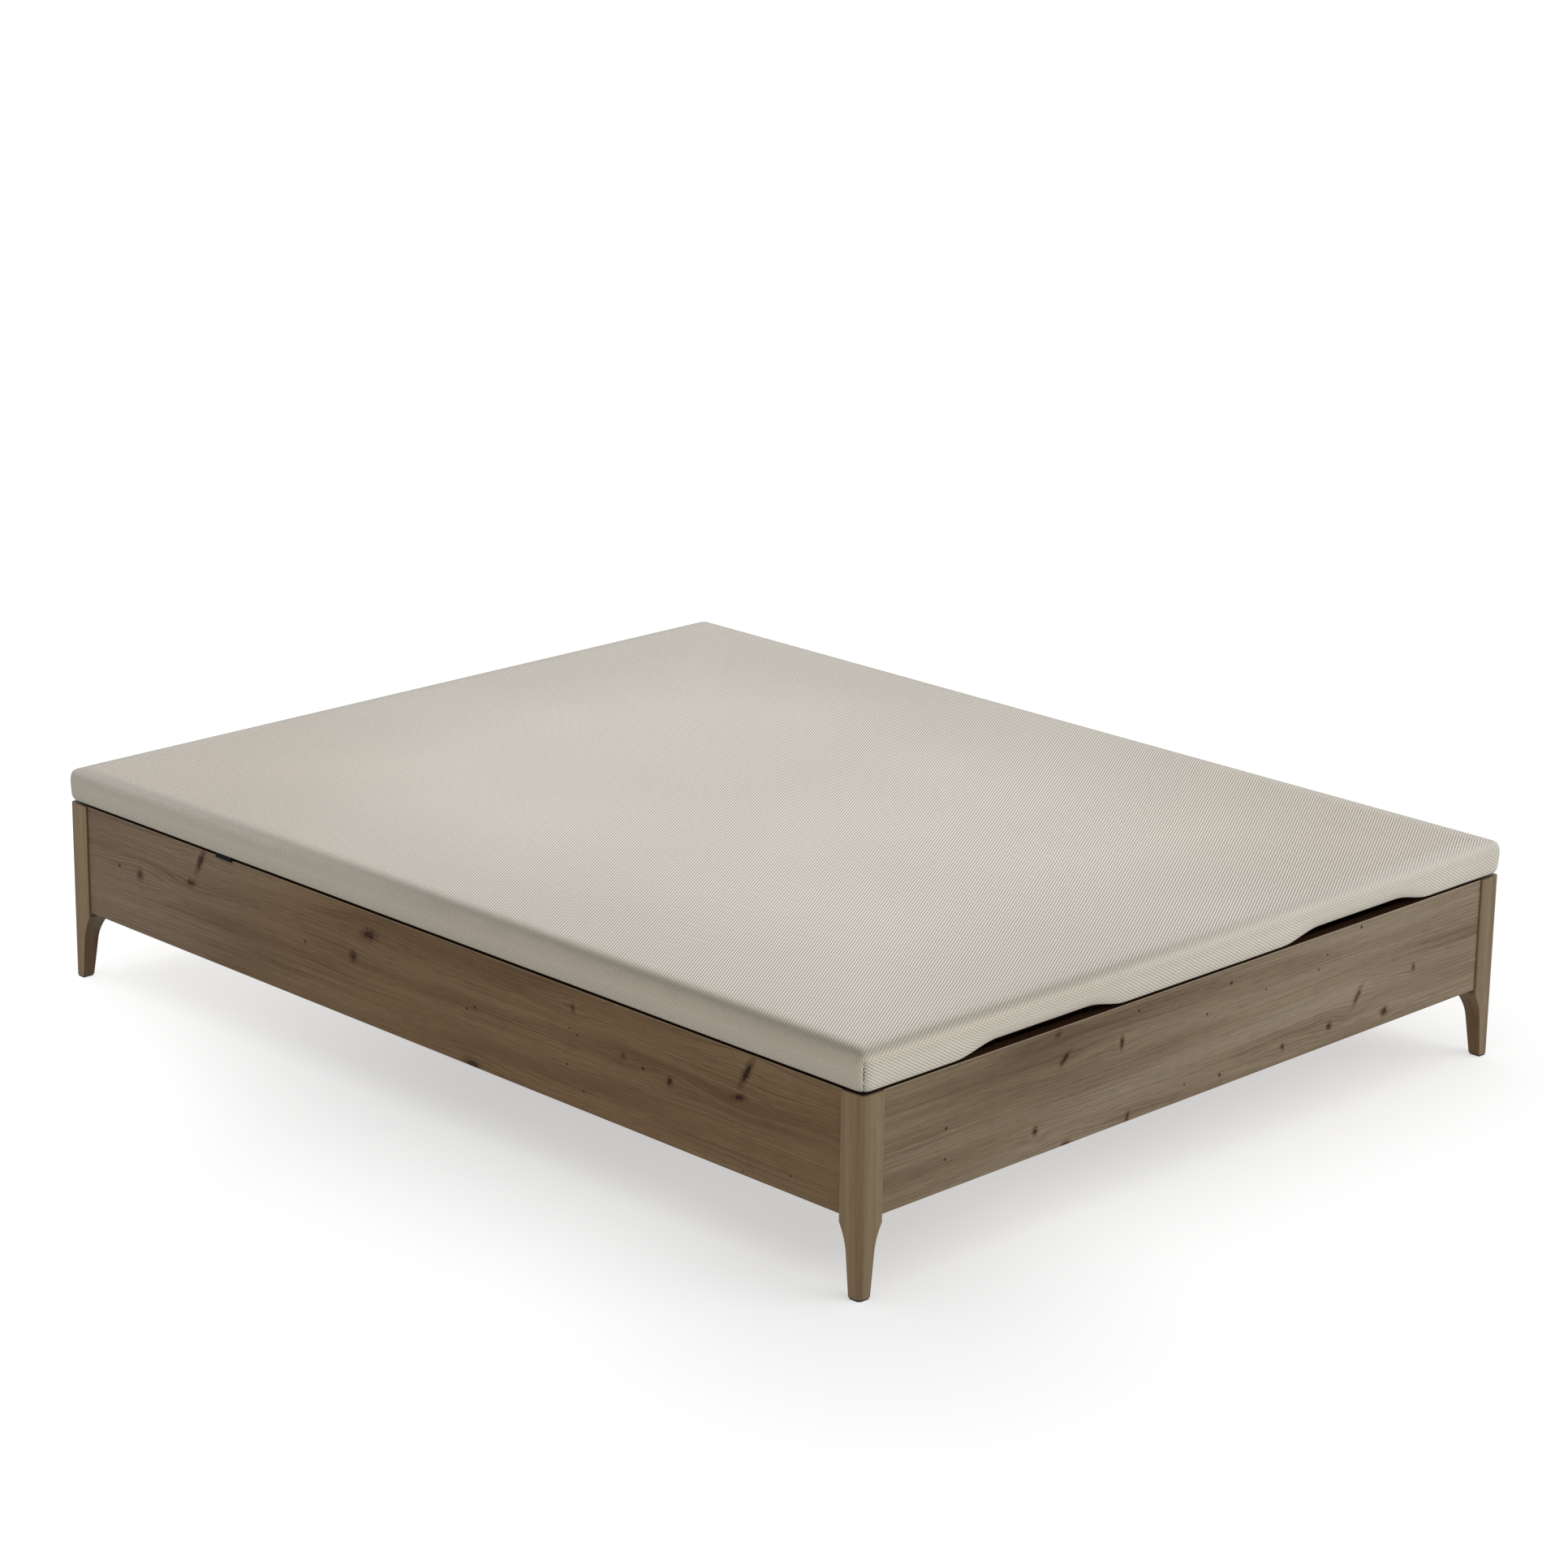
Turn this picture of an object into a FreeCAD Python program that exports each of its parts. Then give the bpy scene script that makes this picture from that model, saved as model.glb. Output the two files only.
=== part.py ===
"""Storage bed base: a panelled box on four tapered legs under an upholstered lid on gas struts.

Millimetres, +Z up. The origin is on the floor under the middle of the bed, the head end is at +Y,
and left is at -X, as seen from the foot end.
"""
import FreeCAD, Part
import os
import Sketcher

# Driving dimensions, each written once.
SIZES = {
    # box
    "base_width": 1500,
    "base_length": 1900,
    "leg_height": 315,
    "panel_bottom": 123,
    "panel_thickness": 20,
    "panel_setback": 4,
    "panel_edge_round": 1.2,
    # legs
    "leg_size": 45,
    "leg_round": 8,
    "leg_edge_round": 2,
    "leg_flare_top": 115,
    "leg_flare_low": 70,
    "leg_waist": 29,
    "leg_flare_radius": 102,
    "leg_foot_size": 22,
    "glide_height": 3,
    "glide_inset": 1,
    # floor of the box
    "ledge_width": 18,
    "ledge_height": 18,
    "ledge_rise": 2,
    "floor_thickness": 8,
    "floor_clearance": 0.5,
    "beam_width": 40,
    "beam_height": 20,
    "beam_wall": 1.5,
    "hanger_wall": 2,
    "hanger_depth": 40,
    "hanger_clearance": 0.3,
    "post_size": 40,
    "post_wall": 2,
    "post_plate_length": 90,
    "post_plate_thickness": 4,
    # corner brackets
    "bracket_wall": 2.5,
    "bracket_floor_gap": 24,
    "bracket_top_gap": 30,
    "bracket_panel_flange": 42,
    # lid
    "lid_gap": 5,
    "lid_height": 55,
    "lid_overhang": 5,
    "lid_corner_radius": 22,
    "pad_thickness": 12,
    "pad_roll": 10,
    "border_thickness": 12,
    "border_draw_in": 5,
    "border_draw_height": 23,
    "board_thickness": 6,
    "rail_thickness": 20,
    "bumper_length": 24,
    "bumper_width": 12,
    "bumper_spacing": 560,
    # finger scallops
    "scallop_offset": 373,
    "scallop_length": 346,
    "scallop_ramp": 54,
    "scallop_depth": 14,
    "scallop_hem": 2,
    # crossbars
    "crossbar_width": 30,
    "crossbar_height": 30,
    "crossbar_wall": 1.5,
    "socket_wall": 2,
    "socket_depth": 24,
    "socket_clearance": 0.3,
    # hinges
    "hinge_spacing": 520,
    "hinge_length": 100,
    "hinge_leaf": 1.5,
    "hinge_leaf_width": 24,
    "hinge_pin_radius": 2,
    "hinge_bore_clearance": 0.15,
    "hinge_knuckle_gap": 0.4,
    "hinge_standoff": 1.5,
    # gas struts
    "strut_reach": 225,
    "strut_pin_rise": 15,
    "strut_tilt": 4,
    "strut_inset": 26,
    "tube_radius": 11,
    "tube_wall": 2,
    "tube_end": 5,
    "tube_guide": 8,
    "tube_lip": 6,
    "rod_radius": 5,
    "rod_clearance": 0.3,
    "piston_length": 8,
    "piston_rest": 4,
    "eye_radius": 9,
    "eye_width": 12,
    "eye_neck": 15,
    "pin_radius": 4,
    "pin_clearance": 0.3,
    "pin_collar_radius": 7,
    "pin_cap": 3,
    "plate_wall": 4,
    "plate_height": 66,
    "plate_width": 90,
    "plate_bracket_gap": 4,
    "arm_wall": 3.5,
    "arm_height": 30,
    "arm_width": 96,
    "plate_corner": 8,
    "plate_hole_radius": 3,
    "plate_hole_margin": 12,
}

# Places that follow from the driving dimensions, as expressions.
HALF_WIDTH = "(sizes.base_width / 2)"
HALF_LENGTH = "(sizes.base_length / 2)"
PANEL_HEIGHT = "(sizes.leg_height - sizes.panel_bottom)"
PANEL_X = f"({HALF_WIDTH} - sizes.panel_setback - sizes.panel_thickness)"
PANEL_Y = f"({HALF_LENGTH} - sizes.panel_setback - sizes.panel_thickness)"
LEG_X = f"({HALF_WIDTH} - sizes.leg_size)"
LEG_Y = f"({HALF_LENGTH} - sizes.leg_size)"
FLOOR_BOTTOM = "(sizes.panel_bottom + sizes.ledge_rise + sizes.ledge_height)"
FLOOR_TOP = f"({FLOOR_BOTTOM} + sizes.floor_thickness)"
BEAM_BOTTOM = f"({FLOOR_BOTTOM} - sizes.beam_height)"
BRACKET_BOTTOM = f"({FLOOR_TOP} + sizes.bracket_floor_gap)"
BRACKET_HEIGHT = f"(sizes.leg_height - sizes.bracket_top_gap - {BRACKET_BOTTOM})"
LID_X = f"({HALF_WIDTH} + sizes.lid_overhang)"
LID_Y = f"({HALF_LENGTH} + sizes.lid_overhang)"
LID_BOTTOM = "(sizes.leg_height + sizes.lid_gap)"
LID_TOP = f"({LID_BOTTOM} + sizes.lid_height)"
PAD_BOTTOM = f"({LID_TOP} - sizes.pad_thickness)"
BOARD_BOTTOM = f"({PAD_BOTTOM} - sizes.board_thickness)"
HINGE_RADIUS = "(sizes.hinge_pin_radius + sizes.hinge_leaf)"
HINGE_GAP = "sizes.hinge_knuckle_gap"
HINGE_ROOM = f"({HINGE_RADIUS} + {HINGE_GAP})"
HINGE_BORE = "(sizes.hinge_pin_radius + sizes.hinge_bore_clearance)"
HINGE_HALF = "(sizes.hinge_length / 2)"
HINGE_THIRD = "(sizes.hinge_length / 3)"
RAIL_BOTTOM = f"(sizes.leg_height + 2 * {HINGE_RADIUS})"
RAIL_HEIGHT = f"({BOARD_BOTTOM} - {RAIL_BOTTOM})"
RAIL_X = f"({LID_X} - sizes.border_thickness)"
RAIL_Y = f"({LID_Y} - sizes.border_thickness)"
RAIL_CORNER = "(sizes.lid_corner_radius - sizes.border_thickness)"
RAIL_INNER_X = f"({RAIL_X} - sizes.rail_thickness)"
RAIL_INNER_Y = f"({RAIL_Y} - sizes.rail_thickness)"
HINGE_Y = f"({HALF_LENGTH} + sizes.hinge_standoff)"
HINGE_Z = f"(sizes.leg_height + {HINGE_RADIUS})"
STRUT_X = f"({PANEL_X} - sizes.strut_inset)"
LOWER_PIN_Z = f"({FLOOR_TOP} + sizes.strut_pin_rise)"
# Both strut pins lie at strut_reach from the hinge line, the lower one this many degrees below it.
STRUT_DROP = f"(asin(({HINGE_Z} - {LOWER_PIN_Z}) / sizes.strut_reach) / 1 deg)"
STRUT_SPREAD = f"({STRUT_DROP} + sizes.strut_tilt)"
STRUT_ANGLE = f"({STRUT_SPREAD} / 2 - sizes.strut_tilt)"
STRUT_CLOSED = f"(2 * sizes.strut_reach * sin({STRUT_SPREAD} / 2))"
LOWER_PIN_Y = f"({HINGE_Y} - sizes.strut_reach * cos({STRUT_DROP}))"
UPPER_PIN_Y = f"({HINGE_Y} - sizes.strut_reach * cos(sizes.strut_tilt))"
UPPER_PIN_Z = f"({HINGE_Z} + sizes.strut_reach * sin(sizes.strut_tilt))"
TUBE_TOP = f"({STRUT_CLOSED} - sizes.eye_neck - sizes.tube_lip)"

SIDES = {"left": -1, "right": 1}
ENDS = {"foot": -1, "head": 1}
CROSSBAR_COUNT = 4
CROSSBAR_SPACING = f"(2 * {RAIL_INNER_Y} / {CROSSBAR_COUNT + 1})"
HINGE_STEPS = (-1, 0, 1)
BUMPER_STEPS = (-1, 0, 1)

doc = FreeCAD.newDocument("storage_bed_base")
sheet = doc.addObject("Spreadsheet::Sheet", "sizes")
for row, (alias, value) in enumerate(SIZES.items(), start=1):
    sheet.set(f"A{row}", alias)
    sheet.set(f"B{row}", str(value))
    sheet.setAlias(f"B{row}", alias)
doc.recompute()

sub_parts = []


def value_of(rule):
    """The number that an expression gives now, for a sketch's first drawing."""
    return sheet.evalExpression(rule)


def keep(sub_part, label):
    """Give a finished sub-part its name and put it on the list that is written."""
    sub_part.Label = label
    sub_parts.append(sub_part)
    return sub_part


def place(item, x="0", y="0", z="0", turn=None, axis=FreeCAD.Vector(0, 0, 1)):
    """Bind a sub-part's place, and its turn about one axis, to expressions."""
    if turn is not None:
        item.Placement = FreeCAD.Placement(FreeCAD.Vector(), FreeCAD.Rotation(axis, 1))
        item.setExpression("Placement.Rotation.Angle", f"{turn} * 1 deg")
    for direction, rule in zip("xyz", (x, y, z)):
        item.setExpression(f"Placement.Base.{direction}", rule)
    return item


def new_body(name):
    return doc.addObject("PartDesign::Body", name)


def new_sketch(body, plane, height=None):
    """A sketch on one of the body's own planes, lifted along the plane's normal if asked."""
    sketch = body.newObject("Sketcher::SketchObject", body.Name + "_sketch")
    base = [feature for feature in body.Origin.OriginFeatures if feature.Role == plane][0]
    sketch.AttachmentSupport = [(base, "")]
    sketch.MapMode = "FlatFace"
    if height is not None:
        sketch.setExpression("AttachmentOffset.Base.z", height)
    return sketch


def pin_point(sketch, geometry, end, x, y):
    """Tie a point of a sketch to expressions for its two coordinates."""
    for kind, rule in (("DistanceX", x), ("DistanceY", y)):
        number = sketch.addConstraint(Sketcher.Constraint(kind, -1, 1, geometry, end, value_of(rule)))
        sketch.setExpression(f"Constraints[{number}]", rule)


def outline(sketch, corners):
    """Draw a closed profile through corners given as expressions.

    A corner is (x, y) for a straight run to the next corner, or (x, y, radius, turn) for an arc to it:
    turn is 1 where the arc bends to the left of the way along it, and -1 where it bends to the right.
    """
    points = [FreeCAD.Vector(value_of(corner[0]), value_of(corner[1]), 0) for corner in corners]
    count = len(corners)
    first = sketch.GeometryCount
    for index, corner in enumerate(corners):
        start = points[index]
        end = points[(index + 1) % count]
        if len(corner) == 2:
            sketch.addGeometry(Part.LineSegment(start, end))
            continue
        chord = end - start
        radius = value_of(corner[2])
        reach = max(radius ** 2 - (chord.Length / 2) ** 2, 0) ** 0.5
        left = FreeCAD.Vector(-chord.y, chord.x, 0).normalize()
        centre = (start + end) / 2 + left * reach * corner[3]
        middle = centre - left * radius * corner[3]
        sketch.addGeometry(Part.Arc(start, middle, end))
    ends = []
    for index, corner in enumerate(corners):
        # An arc is stored anticlockwise, so one that bends to the right starts at its second end.
        backward = len(corner) == 4 and corner[3] < 0
        ends.append((2, 1) if backward else (1, 2))
    for index, corner in enumerate(corners):
        following = (index + 1) % count
        joint = (first + index, ends[index][1], first + following, ends[following][0])
        sketch.addConstraint(Sketcher.Constraint("Coincident", *joint))
        pin_point(sketch, first + index, ends[index][0], corner[0], corner[1])
        if len(corner) == 4:
            number = sketch.addConstraint(Sketcher.Constraint("Radius", first + index, value_of(corner[2])))
            sketch.setExpression(f"Constraints[{number}]", corner[2])
    return sketch


def circle(sketch, x, y, radius):
    centre = FreeCAD.Vector(value_of(x), value_of(y), 0)
    number = sketch.addGeometry(Part.Circle(centre, FreeCAD.Vector(0, 0, 1), value_of(radius)))
    pin_point(sketch, number, 3, x, y)
    constraint = sketch.addConstraint(Sketcher.Constraint("Radius", number, value_of(radius)))
    sketch.setExpression(f"Constraints[{constraint}]", radius)
    return sketch


def rectangle(low_x, low_y, high_x, high_y):
    return [(low_x, low_y), (high_x, low_y), (high_x, high_y), (low_x, high_y)]


def rounded_rectangle(half_x, half_y, radius):
    """Corners of a rounded rectangle about the origin, anticlockwise from the lower right."""
    near_x = f"({half_x} - {radius})"
    near_y = f"({half_y} - {radius})"
    return [
        (f"-{near_x}", f"-{half_y}"), (near_x, f"-{half_y}", radius, 1),
        (half_x, f"-{near_y}"), (half_x, near_y, radius, 1),
        (near_x, half_y), (f"-{near_x}", half_y, radius, 1),
        (f"-{half_x}", near_y), (f"-{half_x}", f"-{near_y}", radius, 1),
    ]


def rounded_section(low_x, low_y, high_x, high_y, radius):
    """Corners of a board's section with softened edges, anticlockwise."""
    return [
        (f"{low_x} + {radius}", low_y), (f"{high_x} - {radius}", low_y, radius, 1),
        (high_x, f"{low_y} + {radius}"), (high_x, f"{high_y} - {radius}", radius, 1),
        (f"{high_x} - {radius}", high_y), (f"{low_x} + {radius}", high_y, radius, 1),
        (low_x, f"{high_y} - {radius}"), (low_x, f"{low_y} + {radius}", radius, 1),
    ]


def pad(body, sketch, length, side="One side", reverse=False):
    feature = body.newObject("PartDesign::Pad", body.Name + "_pad")
    feature.Profile = sketch
    feature.SideType = side
    feature.Reversed = reverse
    feature.setExpression("Length", length)
    return feature


def pocket(body, sketch):
    """Cut a sketch right through the body, both ways."""
    feature = body.newObject("PartDesign::Pocket", body.Name + "_pocket")
    feature.Profile = sketch
    feature.Type = "ThroughAll"
    feature.SideType = "Symmetric"
    return feature


def revolve(body, sketch):
    """Turn a half profile about the sketch's upright axis."""
    feature = body.newObject("PartDesign::Revolution", body.Name + "_turned")
    feature.Profile = sketch
    feature.ReferenceAxis = (sketch, ["V_Axis"])
    feature.Angle = 360
    return feature


def box(name, x, y, z, length, width, height):
    item = doc.addObject("Part::Box", name)
    for side, rule in zip(("Length", "Width", "Height"), (length, width, height)):
        item.setExpression(side, rule)
    return place(item, x, y, z)


def rod_along_x(name, x, y, z, radius, length):
    item = doc.addObject("Part::Cylinder", name)
    item.setExpression("Radius", radius)
    item.setExpression("Height", length)
    return place(item, x, y, z, turn="90", axis=FreeCAD.Vector(0, 1, 0))


def cut(name, base, tools):
    item = doc.addObject("Part::Cut", name)
    item.Base = base
    item.Tool = tools[0] if len(tools) == 1 else fuse(name + "_tools", tools)
    return item


def fuse(name, shapes):
    item = doc.addObject("Part::MultiFuse", name)
    item.Shapes = shapes
    return item


def group(label, pieces):
    """Like pieces that share one name, each still a solid of its own."""
    item = doc.addObject("Part::Compound", label)
    item.Links = pieces
    return keep(item, label)


def make_leg(label, x, y, turn):
    """A square leg with a rounded outer corner whose two inner faces sweep in below the panels."""
    body = new_body(label)
    size = "sizes.leg_size"
    edge = "sizes.leg_edge_round"
    plan = new_sketch(body, "XY_Plane", "sizes.glide_height")
    outline(plan, [
        ("sizes.leg_round", "0"), (f"{size} - {edge}", "0", edge, 1),
        (size, edge), (size, f"{size} - {edge}", edge, 1),
        (f"{size} - {edge}", size), (edge, size, edge, 1),
        ("0", f"{size} - {edge}"), ("0", "sizes.leg_round", "sizes.leg_round", 1),
    ])
    pad(body, plan, "sizes.leg_height - sizes.glide_height")
    sweep = [
        (f"2 * {size}", "0"), (f"2 * {size}", "sizes.leg_flare_top"),
        (size, "sizes.leg_flare_top", "sizes.leg_flare_radius", 1),
        ("sizes.leg_waist", "sizes.leg_flare_low"), ("sizes.leg_foot_size", "0"),
    ]
    pocket(body, outline(new_sketch(body, "XZ_Plane"), sweep))
    pocket(body, outline(new_sketch(body, "YZ_Plane"), sweep))
    place(body, x, y, turn=turn)
    return keep(body, label)


def make_legs():
    """Four legs and the glides under them, turned so that the tapers face into the bed."""
    corners = {
        "foot_left": (-1, -1, "0"), "foot_right": (1, -1, "90"),
        "head_right": (1, 1, "180"), "head_left": (-1, 1, "270"),
    }
    glides = []
    for name, (side, end, turn) in corners.items():
        make_leg(f"leg_{name}", f"{side} * {HALF_WIDTH}", f"{end} * {HALF_LENGTH}", turn)
        glide = new_body(f"glide_{name}")
        low = "sizes.glide_inset"
        high = "sizes.leg_foot_size - sizes.glide_inset"
        radius = "(sizes.leg_round - sizes.glide_inset)"
        plan = outline(new_sketch(glide, "XY_Plane"), [
            (f"{low} + {radius}", low), (high, low), (high, high), (low, high),
            (low, f"{low} + {radius}", radius, 1),
        ])
        pad(glide, plan, "sizes.glide_height")
        glides.append(place(glide, f"{side} * {HALF_WIDTH}", f"{end} * {HALF_LENGTH}", turn=turn))
    group("leg_glides", glides)


def make_panels():
    """Four boards between the legs, set back from the leg faces, with softened long edges."""
    section = rounded_section("0", "0", "sizes.panel_thickness", PANEL_HEIGHT, "sizes.panel_edge_round")
    for name, side in SIDES.items():
        body = new_body(f"side_panel_{name}")
        sketch = outline(new_sketch(body, "XZ_Plane"), section)
        pad(body, sketch, f"2 * {LEG_Y}", "Symmetric")
        inner = f"{side} * {PANEL_X}"
        place(body, inner if side > 0 else f"{inner} - sizes.panel_thickness", z="sizes.panel_bottom")
        keep(body, f"side_panel_{name}")
    for name, end in ENDS.items():
        body = new_body(f"{name}_panel")
        sketch = outline(new_sketch(body, "YZ_Plane"), section)
        pad(body, sketch, f"2 * {LEG_X}", "Symmetric")
        inner = f"{end} * {PANEL_Y}"
        place(body, y=inner if end > 0 else f"{inner} - sizes.panel_thickness", z="sizes.panel_bottom")
        keep(body, f"{name}_panel")


def make_floor():
    """Ledges on the panels, a centre beam in its hangers, a post under it and three loose floor boards."""
    ledge_z = "sizes.panel_bottom + sizes.ledge_rise"
    for name, side in SIDES.items():
        inner = f"{side} * {PANEL_X}"
        x = f"{inner} - sizes.ledge_width" if side > 0 else inner
        ledge = box(f"floor_ledge_{name}", x, f"-{LEG_Y}", ledge_z, "sizes.ledge_width", f"2 * {LEG_Y}",
                    "sizes.ledge_height")
        keep(ledge, f"floor_ledge_{name}")
    hanger_half = "(sizes.beam_width / 2 + sizes.hanger_clearance + sizes.hanger_wall)"
    hangers = []
    for name, end in ENDS.items():
        inner = f"{end} * {PANEL_Y}"
        y = f"{inner} - sizes.ledge_width" if end > 0 else inner
        halves = []
        for side_name, side in SIDES.items():
            x = hanger_half if side > 0 else f"-{LEG_X}"
            halves.append(box(f"ledge_{name}_{side_name}", x, y, ledge_z, f"{LEG_X} - {hanger_half}",
                              "sizes.ledge_width", "sizes.ledge_height"))
        group(f"floor_ledge_{name}", halves)
        shoe_y = f"{inner} - sizes.hanger_depth" if end > 0 else inner
        shoe = box(f"hanger_block_{name}", f"-{hanger_half}", shoe_y, f"{BEAM_BOTTOM} - sizes.hanger_wall",
                   f"2 * {hanger_half}", "sizes.hanger_depth", "sizes.beam_height + sizes.hanger_wall")
        slot_y = f"{inner} - sizes.hanger_depth" if end > 0 else f"{inner} + sizes.hanger_wall"
        slot = box(f"hanger_slot_{name}", f"-{hanger_half} + sizes.hanger_wall", slot_y, BEAM_BOTTOM,
                   f"2 * ({hanger_half} - sizes.hanger_wall)", "sizes.hanger_depth - sizes.hanger_wall",
                   "sizes.beam_height")
        hangers.append(cut(f"hanger_{name}", shoe, [slot]))
    group("beam_hangers", hangers)
    beam = new_body("centre_beam")
    sketch = new_sketch(beam, "XZ_Plane")
    half = "sizes.beam_width / 2"
    outline(sketch, rectangle(f"-{half}", "0", half, "sizes.beam_height"))
    wall = "sizes.beam_wall"
    outline(sketch, rectangle(f"-{half} + {wall}", wall, f"{half} - {wall}", f"sizes.beam_height - {wall}"))
    pad(beam, sketch, f"2 * ({PANEL_Y} - sizes.hanger_wall - sizes.hanger_clearance)", "Symmetric")
    keep(place(beam, z=BEAM_BOTTOM), "centre_beam")
    make_centre_leg()
    make_floor_boards()


def make_centre_leg():
    """A square steel tube with a plate under the beam, and a glide that plugs its foot."""
    leg = new_body("centre_leg")
    outer = "(sizes.post_size / 2)"
    inner = f"({outer} - sizes.post_wall)"
    plate_bottom = f"({BEAM_BOTTOM} - sizes.post_plate_thickness)"
    tube = new_sketch(leg, "XY_Plane", "sizes.glide_height")
    outline(tube, rectangle(f"-{outer}", f"-{outer}", outer, outer))
    outline(tube, rectangle(f"-{inner}", f"-{inner}", inner, inner))
    pad(leg, tube, f"{plate_bottom} - sizes.glide_height")
    plate = new_sketch(leg, "XY_Plane", plate_bottom)
    plate_half = "(sizes.post_plate_length / 2)"
    outline(plate, rectangle(f"-{outer}", f"-{plate_half}", outer, plate_half))
    pad(leg, plate, "sizes.post_plate_thickness")
    keep(leg, "centre_leg")
    half = f"({outer} - sizes.glide_inset)"
    width = f"2 * {half}"
    glide = box("centre_glide", f"-{half}", f"-{half}", "0", width, width, "sizes.glide_height")
    keep(glide, "centre_glide")


def make_floor_boards():
    """Three boards across the bed that lie on the ledges; the end ones are notched round the legs."""
    half_x = f"({PANEL_X} - sizes.floor_clearance)"
    half_y = f"({PANEL_Y} - sizes.floor_clearance)"
    notch_x = f"({LEG_X} - sizes.floor_clearance)"
    notch_y = f"({LEG_Y} - sizes.floor_clearance)"
    seam = f"({half_y} / 3)"
    middle = new_body("floor_board_middle")
    near_seam = f"({seam} - sizes.floor_clearance)"
    sketch = outline(new_sketch(middle, "XY_Plane"),
                     rectangle(f"-{half_x}", f"-{near_seam}", half_x, near_seam))
    pad(middle, sketch, "sizes.floor_thickness")
    keep(place(middle, z=FLOOR_BOTTOM), "floor_board_middle")
    for name, end in ENDS.items():
        board = new_body(f"floor_board_{name}")
        sketch = outline(new_sketch(board, "XY_Plane"), [
            (f"-{half_x}", seam), (half_x, seam), (half_x, notch_y), (notch_x, notch_y),
            (notch_x, half_y), (f"-{notch_x}", half_y), (f"-{notch_x}", notch_y), (f"-{half_x}", notch_y),
        ])
        pad(board, sketch, "sizes.floor_thickness")
        place(board, z=FLOOR_BOTTOM, turn="0" if end > 0 else "180")
        keep(board, f"floor_board_{name}")


def make_corner_brackets():
    """Steel angles, two in each corner, that hold each panel's end to its leg."""
    wall = "sizes.bracket_wall"
    brackets = []
    for end_name, end in ENDS.items():
        for side_name, side in SIDES.items():
            leg_flange = f"({PANEL_X} - {LEG_X})"
            for run in ("side", "end"):
                bracket = new_body(f"bracket_{end_name}_{side_name}_{run}")
                # The panel's inner face is the sketch's x axis here, and the leg's inner face its y axis.
                sketch = outline(new_sketch(bracket, "XY_Plane"), [
                    ("0", "0"), ("sizes.bracket_panel_flange", "0"), ("sizes.bracket_panel_flange", wall),
                    (wall, wall), (wall, leg_flange), ("0", leg_flange),
                ])
                pad(bracket, sketch, BRACKET_HEIGHT)
                mirrored = (side * end > 0) == (run == "side")
                brackets.append(seat_bracket(bracket, side, end, run, mirrored))
    group("corner_brackets", brackets)


def seat_bracket(bracket, side, end, run, mirrored):
    """Mirror a bracket into its corner where needed, then turn it against its panel and leg."""
    item = bracket
    if mirrored:
        item = doc.addObject("Part::Mirroring", bracket.Name + "_mirrored")
        item.Source = bracket
        item.Normal = FreeCAD.Vector(0, 1, 0)
    along_side = {(-1, -1): "90", (1, -1): "90", (1, 1): "270", (-1, 1): "270"}
    along_end = {(-1, -1): "0", (1, -1): "180", (1, 1): "180", (-1, 1): "0"}
    if run == "side":
        return place(item, f"{side} * {PANEL_X}", f"{end} * {LEG_Y}", BRACKET_BOTTOM, along_side[(side, end)])
    return place(item, f"{side} * {LEG_X}", f"{end} * {PANEL_Y}", BRACKET_BOTTOM, along_end[(side, end)])


def scallop_profile(low, depth):
    """Outline of one finger scallop about its middle: two S-shaped ramps up to a flat top."""
    half = "(sizes.scallop_length / 2)"
    ramp = "sizes.scallop_ramp"
    rise = f"({depth})"
    bend = f"(({ramp} * {ramp} + {rise} * {rise}) / (4 * {rise}))"
    top = f"({low} + {rise})"
    mid = f"({low} + {rise} / 2)"
    outer = f"({half} - {ramp} / 2)"
    inner = f"({half} - {ramp})"
    below = f"({low} - {rise})"
    return [
        (f"-{half}", below), (half, below), (half, low, bend, -1), (outer, mid, bend, 1),
        (inner, top), (f"-{inner}", top, bend, 1), (f"-{outer}", mid, bend, -1), (f"-{half}", low),
    ]


def scallop_tools(name, low, depth, middle_y, thickness):
    """Two solids to cut the finger scallops from a piece of the lid's foot end."""
    tools = []
    for side_name, side in SIDES.items():
        tool = new_body(f"{name}_scallop_{side_name}")
        sketch = outline(new_sketch(tool, "XZ_Plane"), scallop_profile(low, depth))
        pad(tool, sketch, thickness, "Symmetric")
        tools.append(place(tool, f"{side} * sizes.scallop_offset", middle_y))
    return tools


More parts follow.
